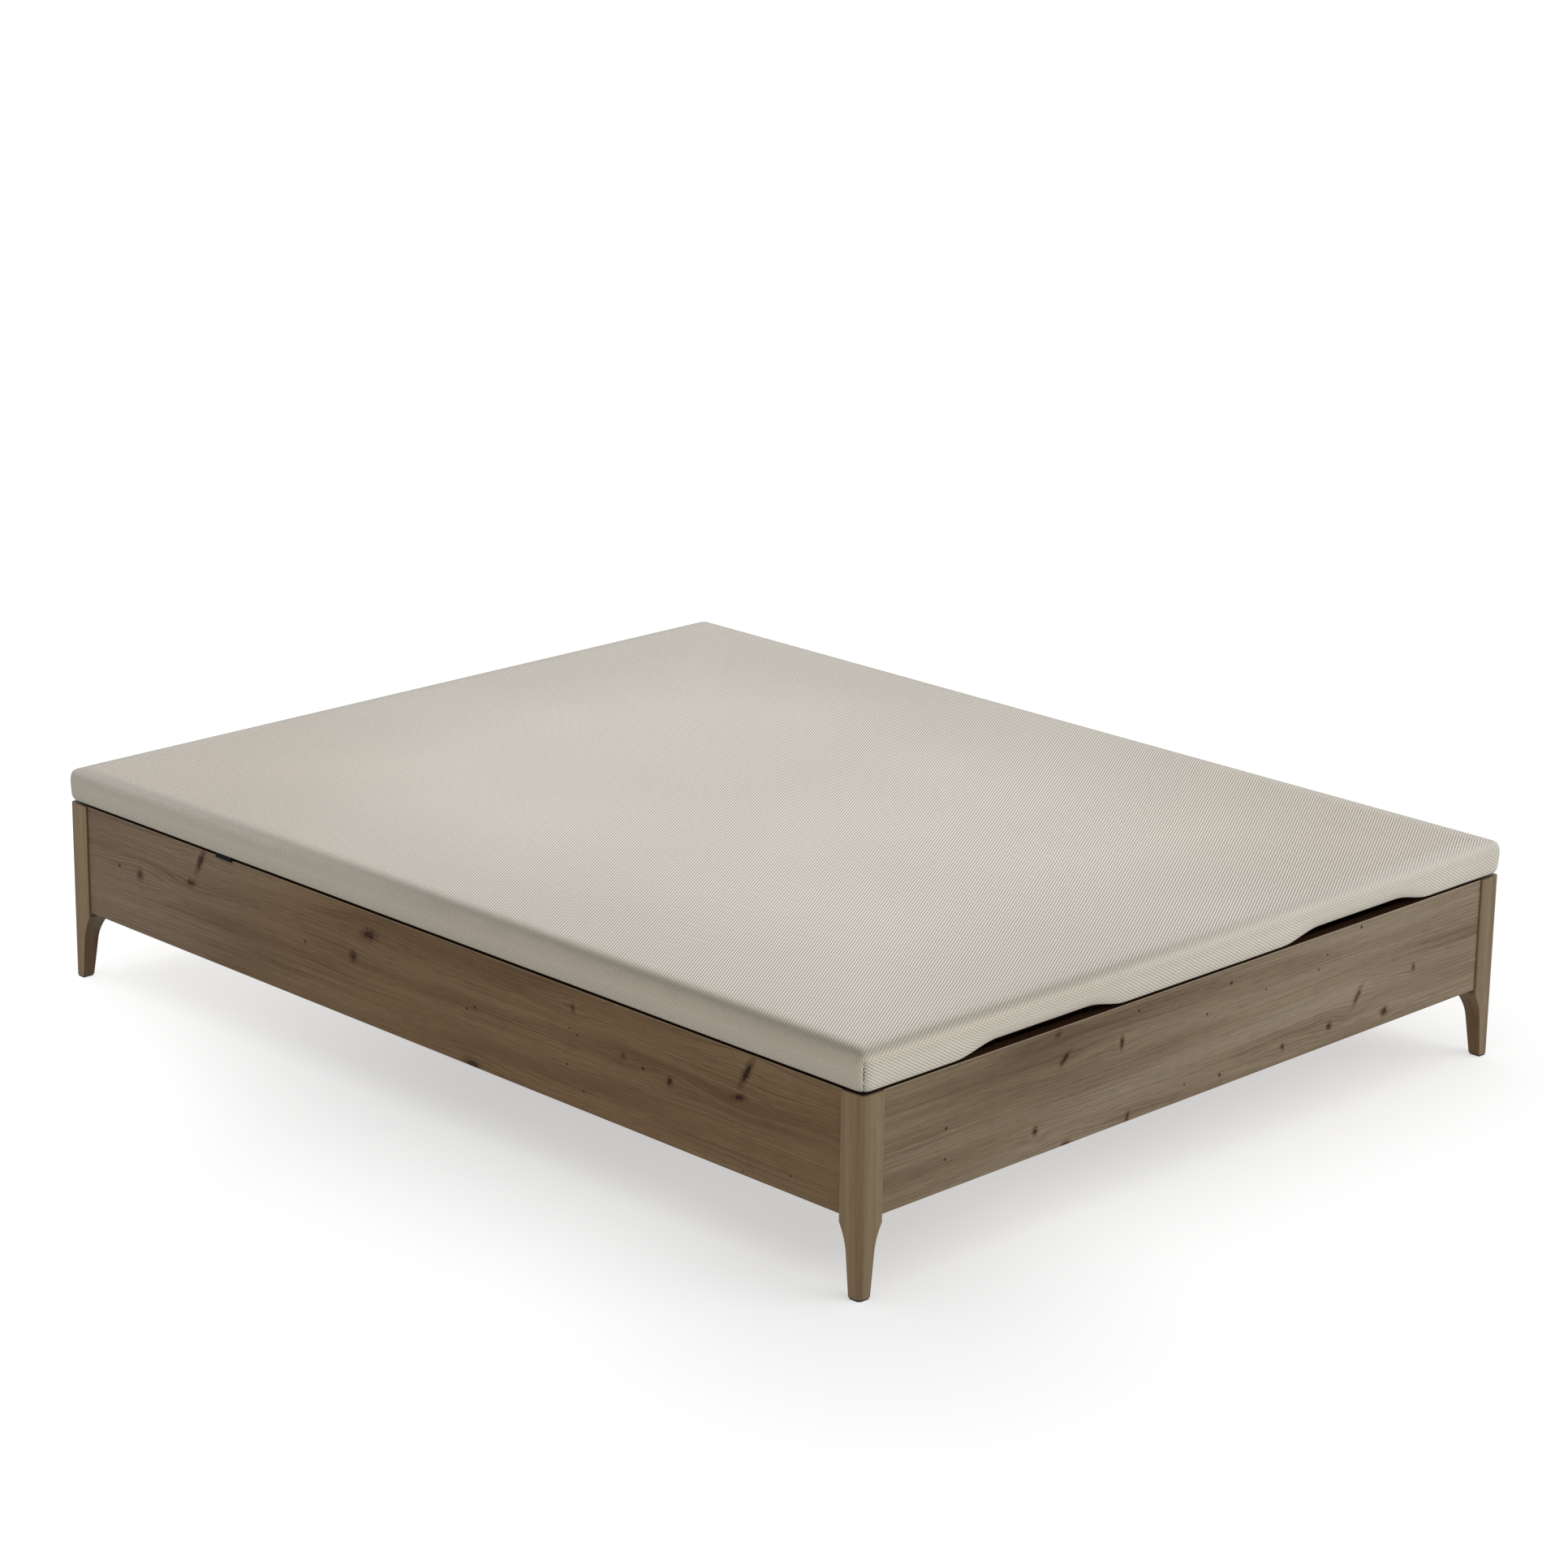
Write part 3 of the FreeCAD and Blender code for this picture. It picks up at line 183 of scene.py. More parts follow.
class Layout:
    """Lays out a node tree, node by node."""

    def __init__(self, tree):
        self.tree = tree

    def put(self, node, socket, value):
        target = node.inputs[socket]
        if isinstance(value, bpy.types.NodeSocket):
            self.tree.links.new(value, target)
        elif target.type == "RGBA" and len(value) == 3:
            target.default_value = (*value, 1)
        else:
            target.default_value = value

    def node(self, kind, inputs, **settings):
        made = self.tree.nodes.new("ShaderNode" + kind)
        for name, value in settings.items():
            setattr(made, name, value)
        for socket, value in inputs.items():
            self.put(made, socket, value)
        return made

    def place(self):
        """The piece's own place, in metres."""
        return self.node("TexCoord", {}).outputs["Object"]

    def facing(self):
        """The way that the surface faces."""
        return self.node("NewGeometry", {}).outputs["Normal"]

    def attribute(self, name):
        return self.node("Attribute", {}, attribute_name=name).outputs["Fac"]

    def parts(self, vector):
        return tuple(self.node("SeparateXYZ", {0: vector}).outputs)

    def join(self, *parts):
        return self.node("CombineXYZ", dict(enumerate(parts))).outputs[0]

    def math(self, operation, *values):
        return self.node("Math", dict(enumerate(values)), operation=operation).outputs[0]

    plus = partialmethod(math, "ADD")
    minus = partialmethod(math, "SUBTRACT")
    times = partialmethod(math, "MULTIPLY")
    times_plus = partialmethod(math, "MULTIPLY_ADD")
    most = partialmethod(math, "MAXIMUM")
    size = partialmethod(math, "ABSOLUTE")

    def vector(self, operation, *values):
        made = self.node("VectorMath", dict(enumerate(values)), operation=operation)
        return made.outputs["Value" if operation in ("DOT_PRODUCT", "DISTANCE") else "Vector"]

    stretch = partialmethod(vector, "MULTIPLY")
    dot = partialmethod(vector, "DOT_PRODUCT")

    def scaled(self, shade, by):
        """The shade times a grey value."""
        return self.node("VectorMath", {0: shade, "Scale": by}, operation="SCALE").outputs["Vector"]

    def step(self, value, low, high, out_low=0.0, out_high=1.0):
        """Goes smoothly from out_low to out_high as value goes from low to high."""
        made = self.node("MapRange", {0: value, 1: low, 2: high, 3: out_low, 4: out_high},
                         interpolation_type="SMOOTHSTEP")
        return made.outputs[0]

    def noise(self, vector, scale, detail=3.0, roughness=0.5, distortion=0.0):
        made = self.node("TexNoise", {"Vector": vector, "Scale": scale, "Detail": detail,
                                      "Roughness": roughness, "Distortion": distortion})
        return made.outputs["Fac"]

    def figure(self, vector, pitch, detail=2.0, roughness=0.5, distortion=0.0):
        """Noise with its own number of waves per metre each way."""
        return self.noise(self.stretch(vector, pitch), 1.0, detail, roughness, distortion)

    def swing(self, noise_of, width):
        """A noise's swing about its middle."""
        return self.times(self.minus(noise_of, 0.5), width)

    def between(self, noise_of, low, high):
        """Goes from low to high over most of a noise's range."""
        return self.step(noise_of, 0.3, 0.7, low, high)

    def ramp(self, value, *stops):
        made = self.node("ValToRGB", {0: value})
        stretch = made.color_ramp.elements
        while len(stretch) < len(stops):
            stretch.new(0.5)
        for element, (position_of, shade) in zip(stretch, stops):
            element.position = position_of
            element.color = (*shade, 1)
        return made.outputs[0]

    def mix(self, share_of_second, first, second):
        return self.node("Mix", {0: share_of_second, 6: first, 7: second}, data_type="RGBA").outputs[2]


class Finish(Layout):
    """One procedural finish."""

    def __init__(self, name, **shader):
        self.material = bpy.data.materials.new(name)
        self.material.use_nodes = True
        super().__init__(self.material.node_tree)
        self.shader = self.tree.nodes["Principled BSDF"]
        for socket, value in shader.items():
            self.put(self.shader, socket.replace("_", " ").title().replace("Ior", "IOR"), value)

    def surface(self, shade, roughness, height, strength, distance):
        self.put(self.shader, "Base Color", shade)
        if roughness is not None:
            self.put(self.shader, "Roughness", roughness)
        bump = self.node("Bump", {"Height": height, "Strength": strength, "Distance": distance})
        self.put(self.shader, "Normal", bump.outputs[0])
        return self.material


def dress(material, *names):
    """Gives CAD nodes their finish."""
    for name in names:
        piece = NODES[name].data
        piece.materials.clear()
        piece.materials.append(material)


def soften_edges(width, *names):
    """Breaks the sharp edges of CAD nodes, as sanding and edge banding do."""
    for name in names:
        merged = NODES[name].modifiers.new("merged", "WELD")
        merged.merge_threshold = 0.00001
        edge = NODES[name].modifiers.new("broken_edges", "BEVEL")
        edge.width = width
        edge.segments = 2
        edge.limit_method = "ANGLE"
        edge.angle_limit = math.radians(35)


def placed(name, data):
    """A new object in the scene."""
    made = bpy.data.objects.new(name, data)
    bpy.context.scene.collection.objects.link(made)
    return made


def new_piece(name, mesh, material, body):
    piece = placed(name, mesh)
    mesh.materials.append(material)
    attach(piece, body)
    return piece


def smooth_mesh(bm, name):
    bmesh.ops.recalc_face_normals(bm, faces=bm.faces)
    for face in bm.faces:
        face.smooth = True
    mesh = bpy.data.meshes.new(name)
    bm.to_mesh(mesh)
    bm.free()
    return mesh


def within(value):
    """The value, kept between nought and one."""
    return max(0.0, min(1.0, value))


def new_of(kind, geom):
    """The vertices, edges or faces among what a bmesh operator gave back."""
    return [part for part in geom if isinstance(part, kind)]


def edges_between(bm, verts):
    return [edge for edge in bm.edges if edge.verts[0] in verts and edge.verts[1] in verts]


# The border's section from the roll at the top to the hem and the rails: in from the outer edge, height.
COVER_SECTION = (
    (0.0090, 0.3723), (0.0062, 0.3710), (0.0038, 0.3690), (0.0020, 0.3663), (0.0009, 0.3630),
    (0.0003, 0.3590), (0.0001, 0.3545), (0.0000, 0.3492), (0.0002, 0.3435), (0.0007, 0.3378),
    (0.0015, 0.3321), (0.0026, 0.3270), (0.0038, 0.3236), (0.0052, 0.3215), (0.0074, 0.3205),
    (0.0102, 0.3208),
)
# Its lining, from the hem up the rails to the board: in from the rails' outer side, height.
LINING_SECTION = (
    (0.0, 0.3216), (0.0, 0.3290), (0.0, BOARD_TOP - 0.002), (0.0, BOARD_TOP + 0.0003),
    (0.002, BOARD_TOP + 0.0003),
)
# The top's grid: its pitch, its lines each way from the middle, its lines near the edge, the least room
# between two, the pitch at the hinges, and the lining's pitch and lines.
TOP_PITCH = 0.029
TOP_LINES = (24, 31)
EDGE_LINES = (0.016, 0.021, 0.028, 0.037, 0.049)
LEAST_PITCH = 0.0019
HINGE_PITCH = 0.002
LINING_PITCH = 0.174
LINING_LINES = (4, 5)
# A corner seam's spread round the corner, the height where it starts and the height over which it deepens.
SEAM_SPREAD = 0.26
SEAM_TOP = 0.3715
SEAM_FADE = 0.006
# How far the hem rises over a hinge, and how quickly.
HINGE_RISE = 0.0032
HINGE_RAMP = 0.003
# Where the rise of the hem has died out, on the border and on its lining, and where it is still whole.
BORDER_STILL = 0.356
LINING_STILL = 0.3575
HEM_WHOLE = HEM + 0.004
FOLD_RUN = 0.02


class BEDBASE_OT_lid_cover(bpy.types.Operator):
    """Makes the padded cloth lid with its rolled edge, corner seams, finger scallops and hinge reliefs"""
    bl_idname = "bedbase.lid_cover"
    bl_label = "Cloth lid"

    def execute(self, context):
        lid = context.scene.bedbase_lid
        self.half = (LID_HIGH[0], LID_HIGH[1])
        self.core = (LID_HIGH[0] - lid.corner, LID_HIGH[1] - lid.corner)
        bm = bmesh.new()
        self.run = bm.verts.layers.float.new("run")
        self.seam = bm.verts.layers.float.new("seam")
        self.lay_top(bm, lid)
        self.turn_down(bm, lid)
        self.unroll(bm, lid)
        mesh = smooth_mesh(bm, "lid_cover")
        piece = new_piece("lid_cover", mesh, lid_cloth(lid), "lid")
        smoother = piece.modifiers.new("smoother", "SUBSURF")
        smoother.levels = 1
        smoother.render_levels = 1
        smoother.uv_smooth = "PRESERVE_BOUNDARIES"
        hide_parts(*COVER_NODES)
        return {"FINISHED"}

    def lay_top(self, bm, lid):
        """The flat top, cut into a grid that is finer at the scallop ends and hinge reliefs."""
        bmesh.ops.create_grid(bm, x_segments=1, y_segments=1, size=1.0)
        bmesh.ops.scale(bm, vec=(self.half[0] - lid.roll, self.half[1] - lid.roll, 1), verts=bm.verts)
        bmesh.ops.translate(bm, vec=(0, 0, LID_HIGH[2] + lid.crown), verts=bm.verts)
        bmesh.ops.bevel(bm, geom=list(bm.verts), affect="VERTICES", offset=lid.corner - lid.roll, segments=8,
                        profile=0.5, material=-1)
        cuts_x, cuts_y = (self.lines(0.0, TOP_PITCH, number) for number in TOP_LINES)
        for side in (-1, 1):
            for end in (-1, 1):
                ramp = side * lid.scallop_centre + end * (lid.scallop_length - lid.scallop_ramp) / 2
                cuts_x |= self.lines(ramp, lid.scallop_ramp / 8, 5)
            for hinge in HINGES:
                cuts_x |= self.lines(hinge + side * lid.hinge_notch, HINGE_PITCH, 2)
            for inset in EDGE_LINES:
                cuts_x.add(side * (self.half[0] - inset))
                cuts_y.add(side * (self.half[1] - inset))
        for cut in self.spaced(cuts_x):
            self.slice(bm, (cut, 0, 0), (1, 0, 0))
        for cut in self.spaced(cuts_y):
            self.slice(bm, (0, cut, 0), (0, 1, 0))
        for vert in bm.verts:
            reach = within(1 - (self.from_edge(vert, lid) - lid.roll) / lid.droop_width)
            vert.co.z -= lid.droop * reach * reach

    def lines(self, middle, pitch, number):
        """Evenly spaced lines, so many each way from the middle one."""
        return {round(middle + step * pitch, 5) for step in range(-number, number + 1)}

    def spaced(self, cuts):
        kept = []
        for cut in sorted(cuts):
            if not kept or cut - kept[-1] >= LEAST_PITCH:
                kept.append(cut)
        return kept

    def from_edge(self, vert, lid):
        """How far a point of the top is from the lid's edge."""
        past_x = abs(vert.co.x) - self.core[0]
        past_y = abs(vert.co.y) - self.core[1]
        if past_x > 0 and past_y > 0:
            return lid.corner - math.hypot(past_x, past_y)
        return lid.corner - max(past_x, past_y)

    def slice(self, bm, point, normal, faces=None):
        """Cuts the faces, or the whole mesh, along a plane and gives back the pieces."""
        faces = list(bm.faces if faces is None else faces)
        geom = {part for face in faces for part in (face, *face.edges, *face.verts)}
        made = bmesh.ops.bisect_plane(bm, geom=list(geom), dist=0.00001, plane_co=point, plane_no=normal)
        return new_of(bmesh.types.BMFace, made["geom"])

    def plan(self, point):
        """The nearest point of the lid's core and the way out from it."""
        x = max(-self.core[0], min(self.core[0], point.x))
        y = max(-self.core[1], min(self.core[1], point.y))
        return Vector((x, y, 0)), Vector((point.x - x, point.y - y, 0))

    def turn_down(self, bm, lid):
        """Draws the border down from the top's edge, row by row, then in and up against the rails."""
        rails = lid.roll - lid.lip
        rows = COVER_SECTION + tuple((rails + inset, height) for inset, height in LINING_SECTION)
        edge = [e for e in bm.edges if e.is_boundary]
        last = (lid.roll, LID_HIGH[2] + lid.crown - lid.droop)
        run = 0.0
        for number, (inset, height) in enumerate(rows):
            run += math.hypot(inset - last[0], height - last[1])
            last = (inset, height)
            made = bmesh.ops.extrude_edge_only(bm, edges=edge)["geom"]
            edge = [e for e in new_of(bmesh.types.BMEdge, made) if e.is_boundary]
            outer = number < len(COVER_SECTION)
            for vert in new_of(bmesh.types.BMVert, made):
                foot, out = self.plan(vert.co)
                out.normalize()
                vert[self.run] = run
                pull = self.pull(lid, vert, out, height) if outer else 0.0
                place = foot + out * (lid.corner - inset - pull)
                place.z = self.lift(lid, place.x, out, height, outer)
                vert.co = place
        lining = bmesh.ops.edgeloop_fill(bm, edges=edge)["faces"]
        for axis, number in enumerate(LINING_LINES):
            way = ((1, 0, 0), (0, 1, 0))[axis]
            for step in range(-number, number + 1):
                lining = self.slice(bm, Vector(way) * (step * LINING_PITCH), way, lining)

    def pull(self, lid, vert, out, height):
        """The corner seams draw in, and the pull of the cloth varies a little along the edge."""
        x, y, _ = vert.co
        diagonal = abs(abs(out.x) - abs(out.y))
        seam = max(0.0, 1 - diagonal / SEAM_SPREAD) if min(abs(out.x), abs(out.y)) > 0.3 else 0.0
        fade = within((SEAM_TOP - height) / SEAM_FADE)
        vert[self.seam] = seam * fade
        ripple = noise.noise(Vector((x * 4.1, y * 4.1, height * 24))) * 0.0007
        fine = noise.noise(Vector((x * 17, y * 17, height * 40 + 7))) * 0.00022
        near = max(abs(x) - self.core[0] + 0.05, 0) * max(abs(y) - self.core[1] + 0.05, 0)
        pucker = math.sin(height * 900) * min(near * 0.12, 0.0004)
        return seam * fade * lid.seam_depth + ripple * fade + fine * fade + pucker

    def lift(self, lid, x, out, height, outer):
        """The height of a point of the border, raised in the finger scallops and over the hinges."""
        if out.y < -0.9:
            away = lid.scallop_length / 2 - abs(abs(x) - lid.scallop_centre)
            rise = within(away / lid.scallop_ramp)
            rise = lid.scallop_depth * rise * rise * (3 - 2 * rise)
        elif out.y > 0.9:
            away = min(abs(x - hinge) for hinge in HINGES)
            rise = within((lid.hinge_notch - away) / HINGE_RAMP) * HINGE_RISE
        else:
            return height
        still = BORDER_STILL if outer else LINING_STILL
        return height + rise * within((still - height) / (still - HEM_WHOLE))

    def unroll(self, bm, lid):
        """Lays the cloth out flat as its UV map, in metres: the top as it lies, each border folded out."""
        flat = bm.loops.layers.uv.new("cloth")
        for face in bm.faces:
            middle = face.calc_center_median()
            is_top = all(v[self.run] == 0 for v in face.verts)
            past = self.plan(middle)[1]
            out_axis = 0 if abs(past.x) > abs(past.y) else 1
            for loop in face.loops:
                vert = loop.vert
                if is_top:
                    loop[flat].uv = (vert.co.x, vert.co.y)
                    continue
                foot, out = self.plan(vert.co)
                out.normalize()
                run = vert[self.run]
                spread = foot + out * (lid.corner - lid.roll + run)
                folded = foot.copy()
                folded[out_axis] = math.copysign(self.half[out_axis] - lid.roll + run, middle[out_axis])
                folded[1 - out_axis] += math.atan2(out[1 - out_axis], abs(out[out_axis])) * lid.corner
                loop[flat].uv = spread.lerp(folded, min(1.0, run / FOLD_RUN)).xy


# How bright the cloth is painted over the edge, at the sides and at the ends: a dark band that is partly the
# stretched mesh's opened holes and partly painted shade, with painted light lower on the border. The band
# starts BAND_IN inside the roll and is BAND_WIDE.
BAND_IN = 0.07
BAND_WIDE = 0.1
SIDE_PAINTED_SHADE = (
    (0.0, WHITE), (0.34, (0.98, 0.97, 0.96)), (0.42, (0.90, 0.89, 0.87)), (0.50, (0.69, 0.68, 0.64)),
    (0.56, (0.51, 0.50, 0.46)), (0.62, (0.39, 0.375, 0.34)), (0.66, (0.365, 0.35, 0.315)),
    (0.70, (0.40, 0.38, 0.34)), (0.745, (0.49, 0.465, 0.42)), (0.79, (0.67, 0.63, 0.57)),
    (0.84, (0.90, 0.85, 0.78)), (0.89, (1.04, 0.99, 0.91)), (1.0, (1.16, 1.11, 1.03)),
)
END_PAINTED_SHADE = (
    (0.0, (1.0, 1.0, 0.99)), (0.34, (0.95, 0.94, 0.93)), (0.42, (0.89, 0.88, 0.86)),
    (0.50, (0.78, 0.77, 0.74)), (0.58, (0.63, 0.615, 0.58)), (0.66, (0.65, 0.63, 0.59)),
    (0.72, (0.75, 0.725, 0.68)), (0.79, (0.90, 0.88, 0.84)), (0.89, (1.02, 1.0, 0.96)),
    (1.0, (1.13, 1.11, 1.07)),
)
FAINT_PAINTED_SHADE = ((0.78, WHITE), (1.0, (1.20, 1.19, 1.16)))
WARM_CLOTH = (0.95, 0.91, 0.885)
# The play of the ribs, the fuzz of the yarn, the unevenness of the band and the raggedness of the seams.
RIB_PLAY = 0.0006
YARN_FUZZ = 0.2
BAND_PLAY = 0.06
SEAM_PLAY = 0.4


def lid_cloth(lid):
    """Tight spacer mesh: slanting ribs on the top, staggered bumps on the borders, and a darker band over the
    edge that is partly stretched mesh and partly painted shade.
    """
    cloth = Finish("lid_cloth", roughness=0.92, specular_ior_level=0.18, sheen_weight=0.12,
                   sheen_roughness=0.6)
    flat = cloth.node("UVMap", {}, uv_map="cloth").outputs[0]
    spot = cloth.place()
    u, v, _ = cloth.parts(flat)
    x, y, _ = cloth.parts(spot)
    # Whether a side or an end is nearer, how far in from the roll, and how far over the roll's start.
    in_x = cloth.minus(LID_HIGH[0], cloth.size(x))
    in_y = cloth.minus(LID_HIGH[1], cloth.size(y))
    side = cloth.step(cloth.minus(in_y, in_x), -0.012, 0.012)
    inward = cloth.most(cloth.minus(cloth.math("MINIMUM", in_x, in_y), lid.roll), 0.0)
    over = cloth.minus(cloth.attribute("run"), inward)
    # Two sets of slanting ribs, the second one stronger on the borders.
    wander = cloth.swing(cloth.noise(flat, 7.0, 1.0), RIB_PLAY)
    across = cloth.times(cloth.plus(u, wander), TURN / lid.weave_across)
    along = cloth.times(v, TURN / lid.weave_along)
    rib = cloth.math("COSINE", cloth.minus(across, along))
    counter = cloth.math("COSINE", cloth.plus(across, along))
    second = cloth.step(over, -0.012, 0.012, 0.15, 0.24)
    crown = cloth.times_plus(rib, cloth.minus(0.5, second), 0.5)
    crown = cloth.times_plus(counter, second, crown)
    yarn = cloth.noise(flat, 900.0, 2.0, 0.7)
    crown = cloth.times_plus(cloth.minus(yarn, 0.5), YARN_FUZZ, crown)
    # Stretched over the edge, the threads lose contrast.
    at_sides = cloth.step(over, -0.036, -0.012, 1.2, 0.42)
    at_ends = cloth.step(over, -0.03, 0.0, 1.2, 0.66)
    contrast = cloth.times_plus(side, cloth.minus(at_sides, at_ends), at_ends)
    toned = cloth.times_plus(cloth.minus(crown, 0.5), contrast, 0.5)
    shade = cloth.ramp(toned, (0.02, lid.thread_dark), (0.5, lid.thread_middle), (0.98, lid.thread_light))
    # The painted shade band over the edge is strongest towards the near left corner and fainter elsewhere,
    # where the low border is painted lighter instead. The top is painted darker towards its edges, and darker
    # and warmer in its far left and near right corners.
    uneven = cloth.swing(cloth.noise(flat, 11.0, 3.0), BAND_PLAY)
    over = cloth.plus(cloth.times_plus(over, 1 / BAND_WIDE, BAND_IN / BAND_WIDE), uneven)
    band = cloth.mix(side, cloth.ramp(over, *END_PAINTED_SHADE), cloth.ramp(over, *SIDE_PAINTED_SHADE))
    # Painted shade strength: full towards the near left corner, faint elsewhere.
    painted_shade_strength = cloth.step(cloth.dot(spot, (1.4, 0.75, 0.0)), 0.2, -1.5, 0.12, 1.0)
    band = cloth.mix(painted_shade_strength, cloth.ramp(over, *FAINT_PAINTED_SHADE), band)
    # Painted shade near the edge of the top and on the borders, fading out further in.
    band = cloth.scaled(band, cloth.step(inward, 0.05, 0.42, 0.9, 1.0))
    warm = cloth.times(cloth.step(cloth.times(x, y), -0.03, -0.45), cloth.step(over, 0.6, 0.3))
    band = cloth.mix(warm, band, cloth.stretch(band, WARM_CLOTH))
    broad = cloth.between(cloth.noise(flat, 2.2, 2.0), 0.98, 1.02)
    shade = cloth.scaled(cloth.stretch(shade, band), broad)
    frayed = cloth.minus(cloth.noise(spot, 160.0, 2.0), 0.5)
    ragged = cloth.times_plus(frayed, SEAM_PLAY, cloth.attribute("seam"))
    shade = cloth.mix(cloth.step(ragged, 0.80, 0.93), shade, lid.seam)
    return cloth.surface(shade, None, crown, strength=0.7, distance=0.0012)


# The tab's ribbon: its folded section, x and height; where along the hem it starts, the steps it is made
# in, its wall, its ribs and rows, and the wave of its free edge.
TAB_SECTION = (
    (-0.7483, 0.3222), (-0.7492, 0.3190), (-0.7494, 0.3150), (-0.7490, 0.3128), (-0.7484, 0.3128),
    (-0.7481, 0.3150), (-0.7481, 0.3190), (-0.7480, 0.3222),
)
TAB_START = 0.5015
TAB_STEP = 0.0053
TAB_STEPS = 8
TAB_WALL = 0.0004
TAB_RIB = 0.0011
TAB_ROW = 0.0009
TAB_TOP = 0.322
TAB_DROP = 0.009
TAB_WAVE = 0.00025


class BEDBASE_OT_lid_tab(bpy.types.Operator):
    """Sews the small bare tab, a folded ribbon, into the left hem"""
    bl_idname = "bedbase.lid_tab"
    bl_label = "Hem tab"

    def execute(self, context):
        material = self.ribbon(context.scene.bedbase_lid)
        bm = bmesh.new()
        verts = [bm.verts.new((x, TAB_START, z)) for x, z in TAB_SECTION]
        strip = [bm.edges.new(pair) for pair in zip(verts, verts[1:])]
        for _ in range(TAB_STEPS):
            moved = new_of(bmesh.types.BMVert, bmesh.ops.extrude_edge_only(bm, edges=strip)["geom"])
            bmesh.ops.translate(bm, vec=(0, TAB_STEP, 0), verts=moved)
            strip = edges_between(bm, moved)
        for vert in bm.verts:
            vert.co.x += TAB_WAVE * math.sin(vert.co.y * 260) * (TAB_TOP - vert.co.z) / TAB_DROP
        piece = new_piece("lid_tab", smooth_mesh(bm, "lid_tab"), material, "lid")
        wall = piece.modifiers.new("ribbon", "SOLIDIFY")
        wall.thickness = TAB_WALL
        wall.offset = 0
        return {"FINISHED"}

    def ribbon(self, lid):
        ribbon = Finish("tab_ribbon", roughness=0.85, specular_ior_level=0.1)
        _, y, z = ribbon.parts(ribbon.place())
        ribs = ribbon.math("SINE", ribbon.times(y, TURN / TAB_RIB))
        rows = ribbon.math("SINE", ribbon.times(z, TURN / TAB_ROW))
        weave = ribbon.times_plus(ribbon.times(ribs, rows), 0.5, 0.5)
        shade = ribbon.ramp(weave, (0.0, shaded(lid.tab, 0.5)), (1.0, shaded(lid.tab, 1.8)))
        return ribbon.surface(shade, None, weave, strength=0.4, distance=0.0002)


# Knots of the oak decor: place along the panel, height, half width and half height in mm, lean in degrees
# and strength.
KNOTS_LEFT = (
    (-710, 284, 4.5, 20, 30, 1), (-695, 242, 11, 4, -14, 0.9), (-547, 225, 5, 6, 20, 0.95),
    (-445, 237, 5, 4, 0, 0.5), (-333, 283, 3.5, 6, 0, 0.6), (589, 294, 5, 18, 30, 0.9),
    (616, 249, 10, 4.5, -14, 0.8), (760, 228, 7, 7, 0, 0.75), (151, 276, 14, 7, -12, 0.95),
    (191, 230, 7, 7, 0, 0.85), (-99, 127, 14, 6, 0, 0.8),
)
KNOTS_FOOT = (
    (-316, 263, 10, 4.5, 40, 0.95), (-333, 304, 6, 4, 20, 0.6), (-187, 255, 3.5, 8, -4, 0.95),
    (-378, 163, 4, 5, 0, 0.9), (-309, 123, 8, 5, 0, 0.8), (-169, 130, 3.5, 7, -18, 0.75),
    (389, 189, 4, 14, -35, 0.7), (462, 146, 6, 6, 0, 0.95), (319, 156, 5, 5, 0, 0.85),
    (202, 150, 4, 4, 0, 0.75), (534, 204, 4, 6, 0, 0.6),
)
KNOTS_RIGHT = (
    (-610, 196, 6, 19, 24, 0.9), (-420, 268, 8, 9, 0, 0.7), (-120, 178, 11, 7, 8, 0.8),
    (150, 249, 5, 6, 0, 0.8), (470, 158, 8, 11, -10, 0.8), (760, 260, 10, 6, 0, 0.6),
)
KNOTS_HEAD = (
    (-560, 210, 9, 10, 0, 0.8), (-260, 272, 6, 8, 14, 0.7), (90, 170, 10, 6, 0, 0.7),
    (330, 236, 5, 15, -28, 0.9), (610, 182, 7, 7, 0, 0.6),
)
# Pin knots: place along the panel, height and radius in mm.
PINS_LEFT = (
    (-489, 229, 3.5), (-325, 248, 2.2), (-342, 242, 2.5), (-320, 189, 2.5), (-357, 155, 2.5), (-704, 128, 2),
    (-803, 151, 2.5), (817, 231, 4), (315, 223, 3.5), (-105, 223, 3.5), (-86, 216, 3),
)
PINS_FOOT = (
    (-150, 297, 3.5), (68, 289, 4), (12, 252, 3), (-572, 220, 3.5), (-573, 172, 3), (-36, 148, 2.5),
    (49, 142, 4), (154, 258, 2.5), (390, 306, 3.5), (306, 279, 2.5), (285, 259, 2.5),
)
PINS_RIGHT = (
    (-780, 232, 3), (-505, 171, 2.5), (-260, 281, 3.5), (40, 150, 2.5), (330, 214, 3), (620, 289, 2.5),
)
PINS_HEAD = (
    (-640, 268, 3), (-390, 165, 2.5), (-80, 231, 3), (210, 287, 2.5), (480, 244, 3),
)
# The panels: the way their grain runs, their knots and pin knots, and where their noise starts.
PANELS = (
    ("side_panel_left", 1, KNOTS_LEFT, PINS_LEFT, 0.0), ("foot_panel", 0, KNOTS_FOOT, PINS_FOOT, 11.0),
    ("side_panel_right", 1, KNOTS_RIGHT, PINS_RIGHT, 23.0), ("head_panel", 0, KNOTS_HEAD, PINS_HEAD, 37.0),
)
# A panel's painted shade and tint at its start and at its end, darker at the left of the ends and at the foot
# of the sides, and where the one goes over into the other: ends, then sides.
PANEL_PAINTED_SHADE = (
    ((0.70, 0.70, 0.70), (0.88, 0.92, 0.98), -0.7, 0.3),
    ((0.81, 0.71, 0.58), (0.93, 0.90, 0.93), 0.1, 0.9),
)
RING_PITCH = 0.0064
# Where the painted highlight runs, just under the panel's top edge.
HIGHLIGHT_LOW, HIGHLIGHT_HIGH = PANEL_TOP - 0.0018, PANEL_TOP - 0.0008


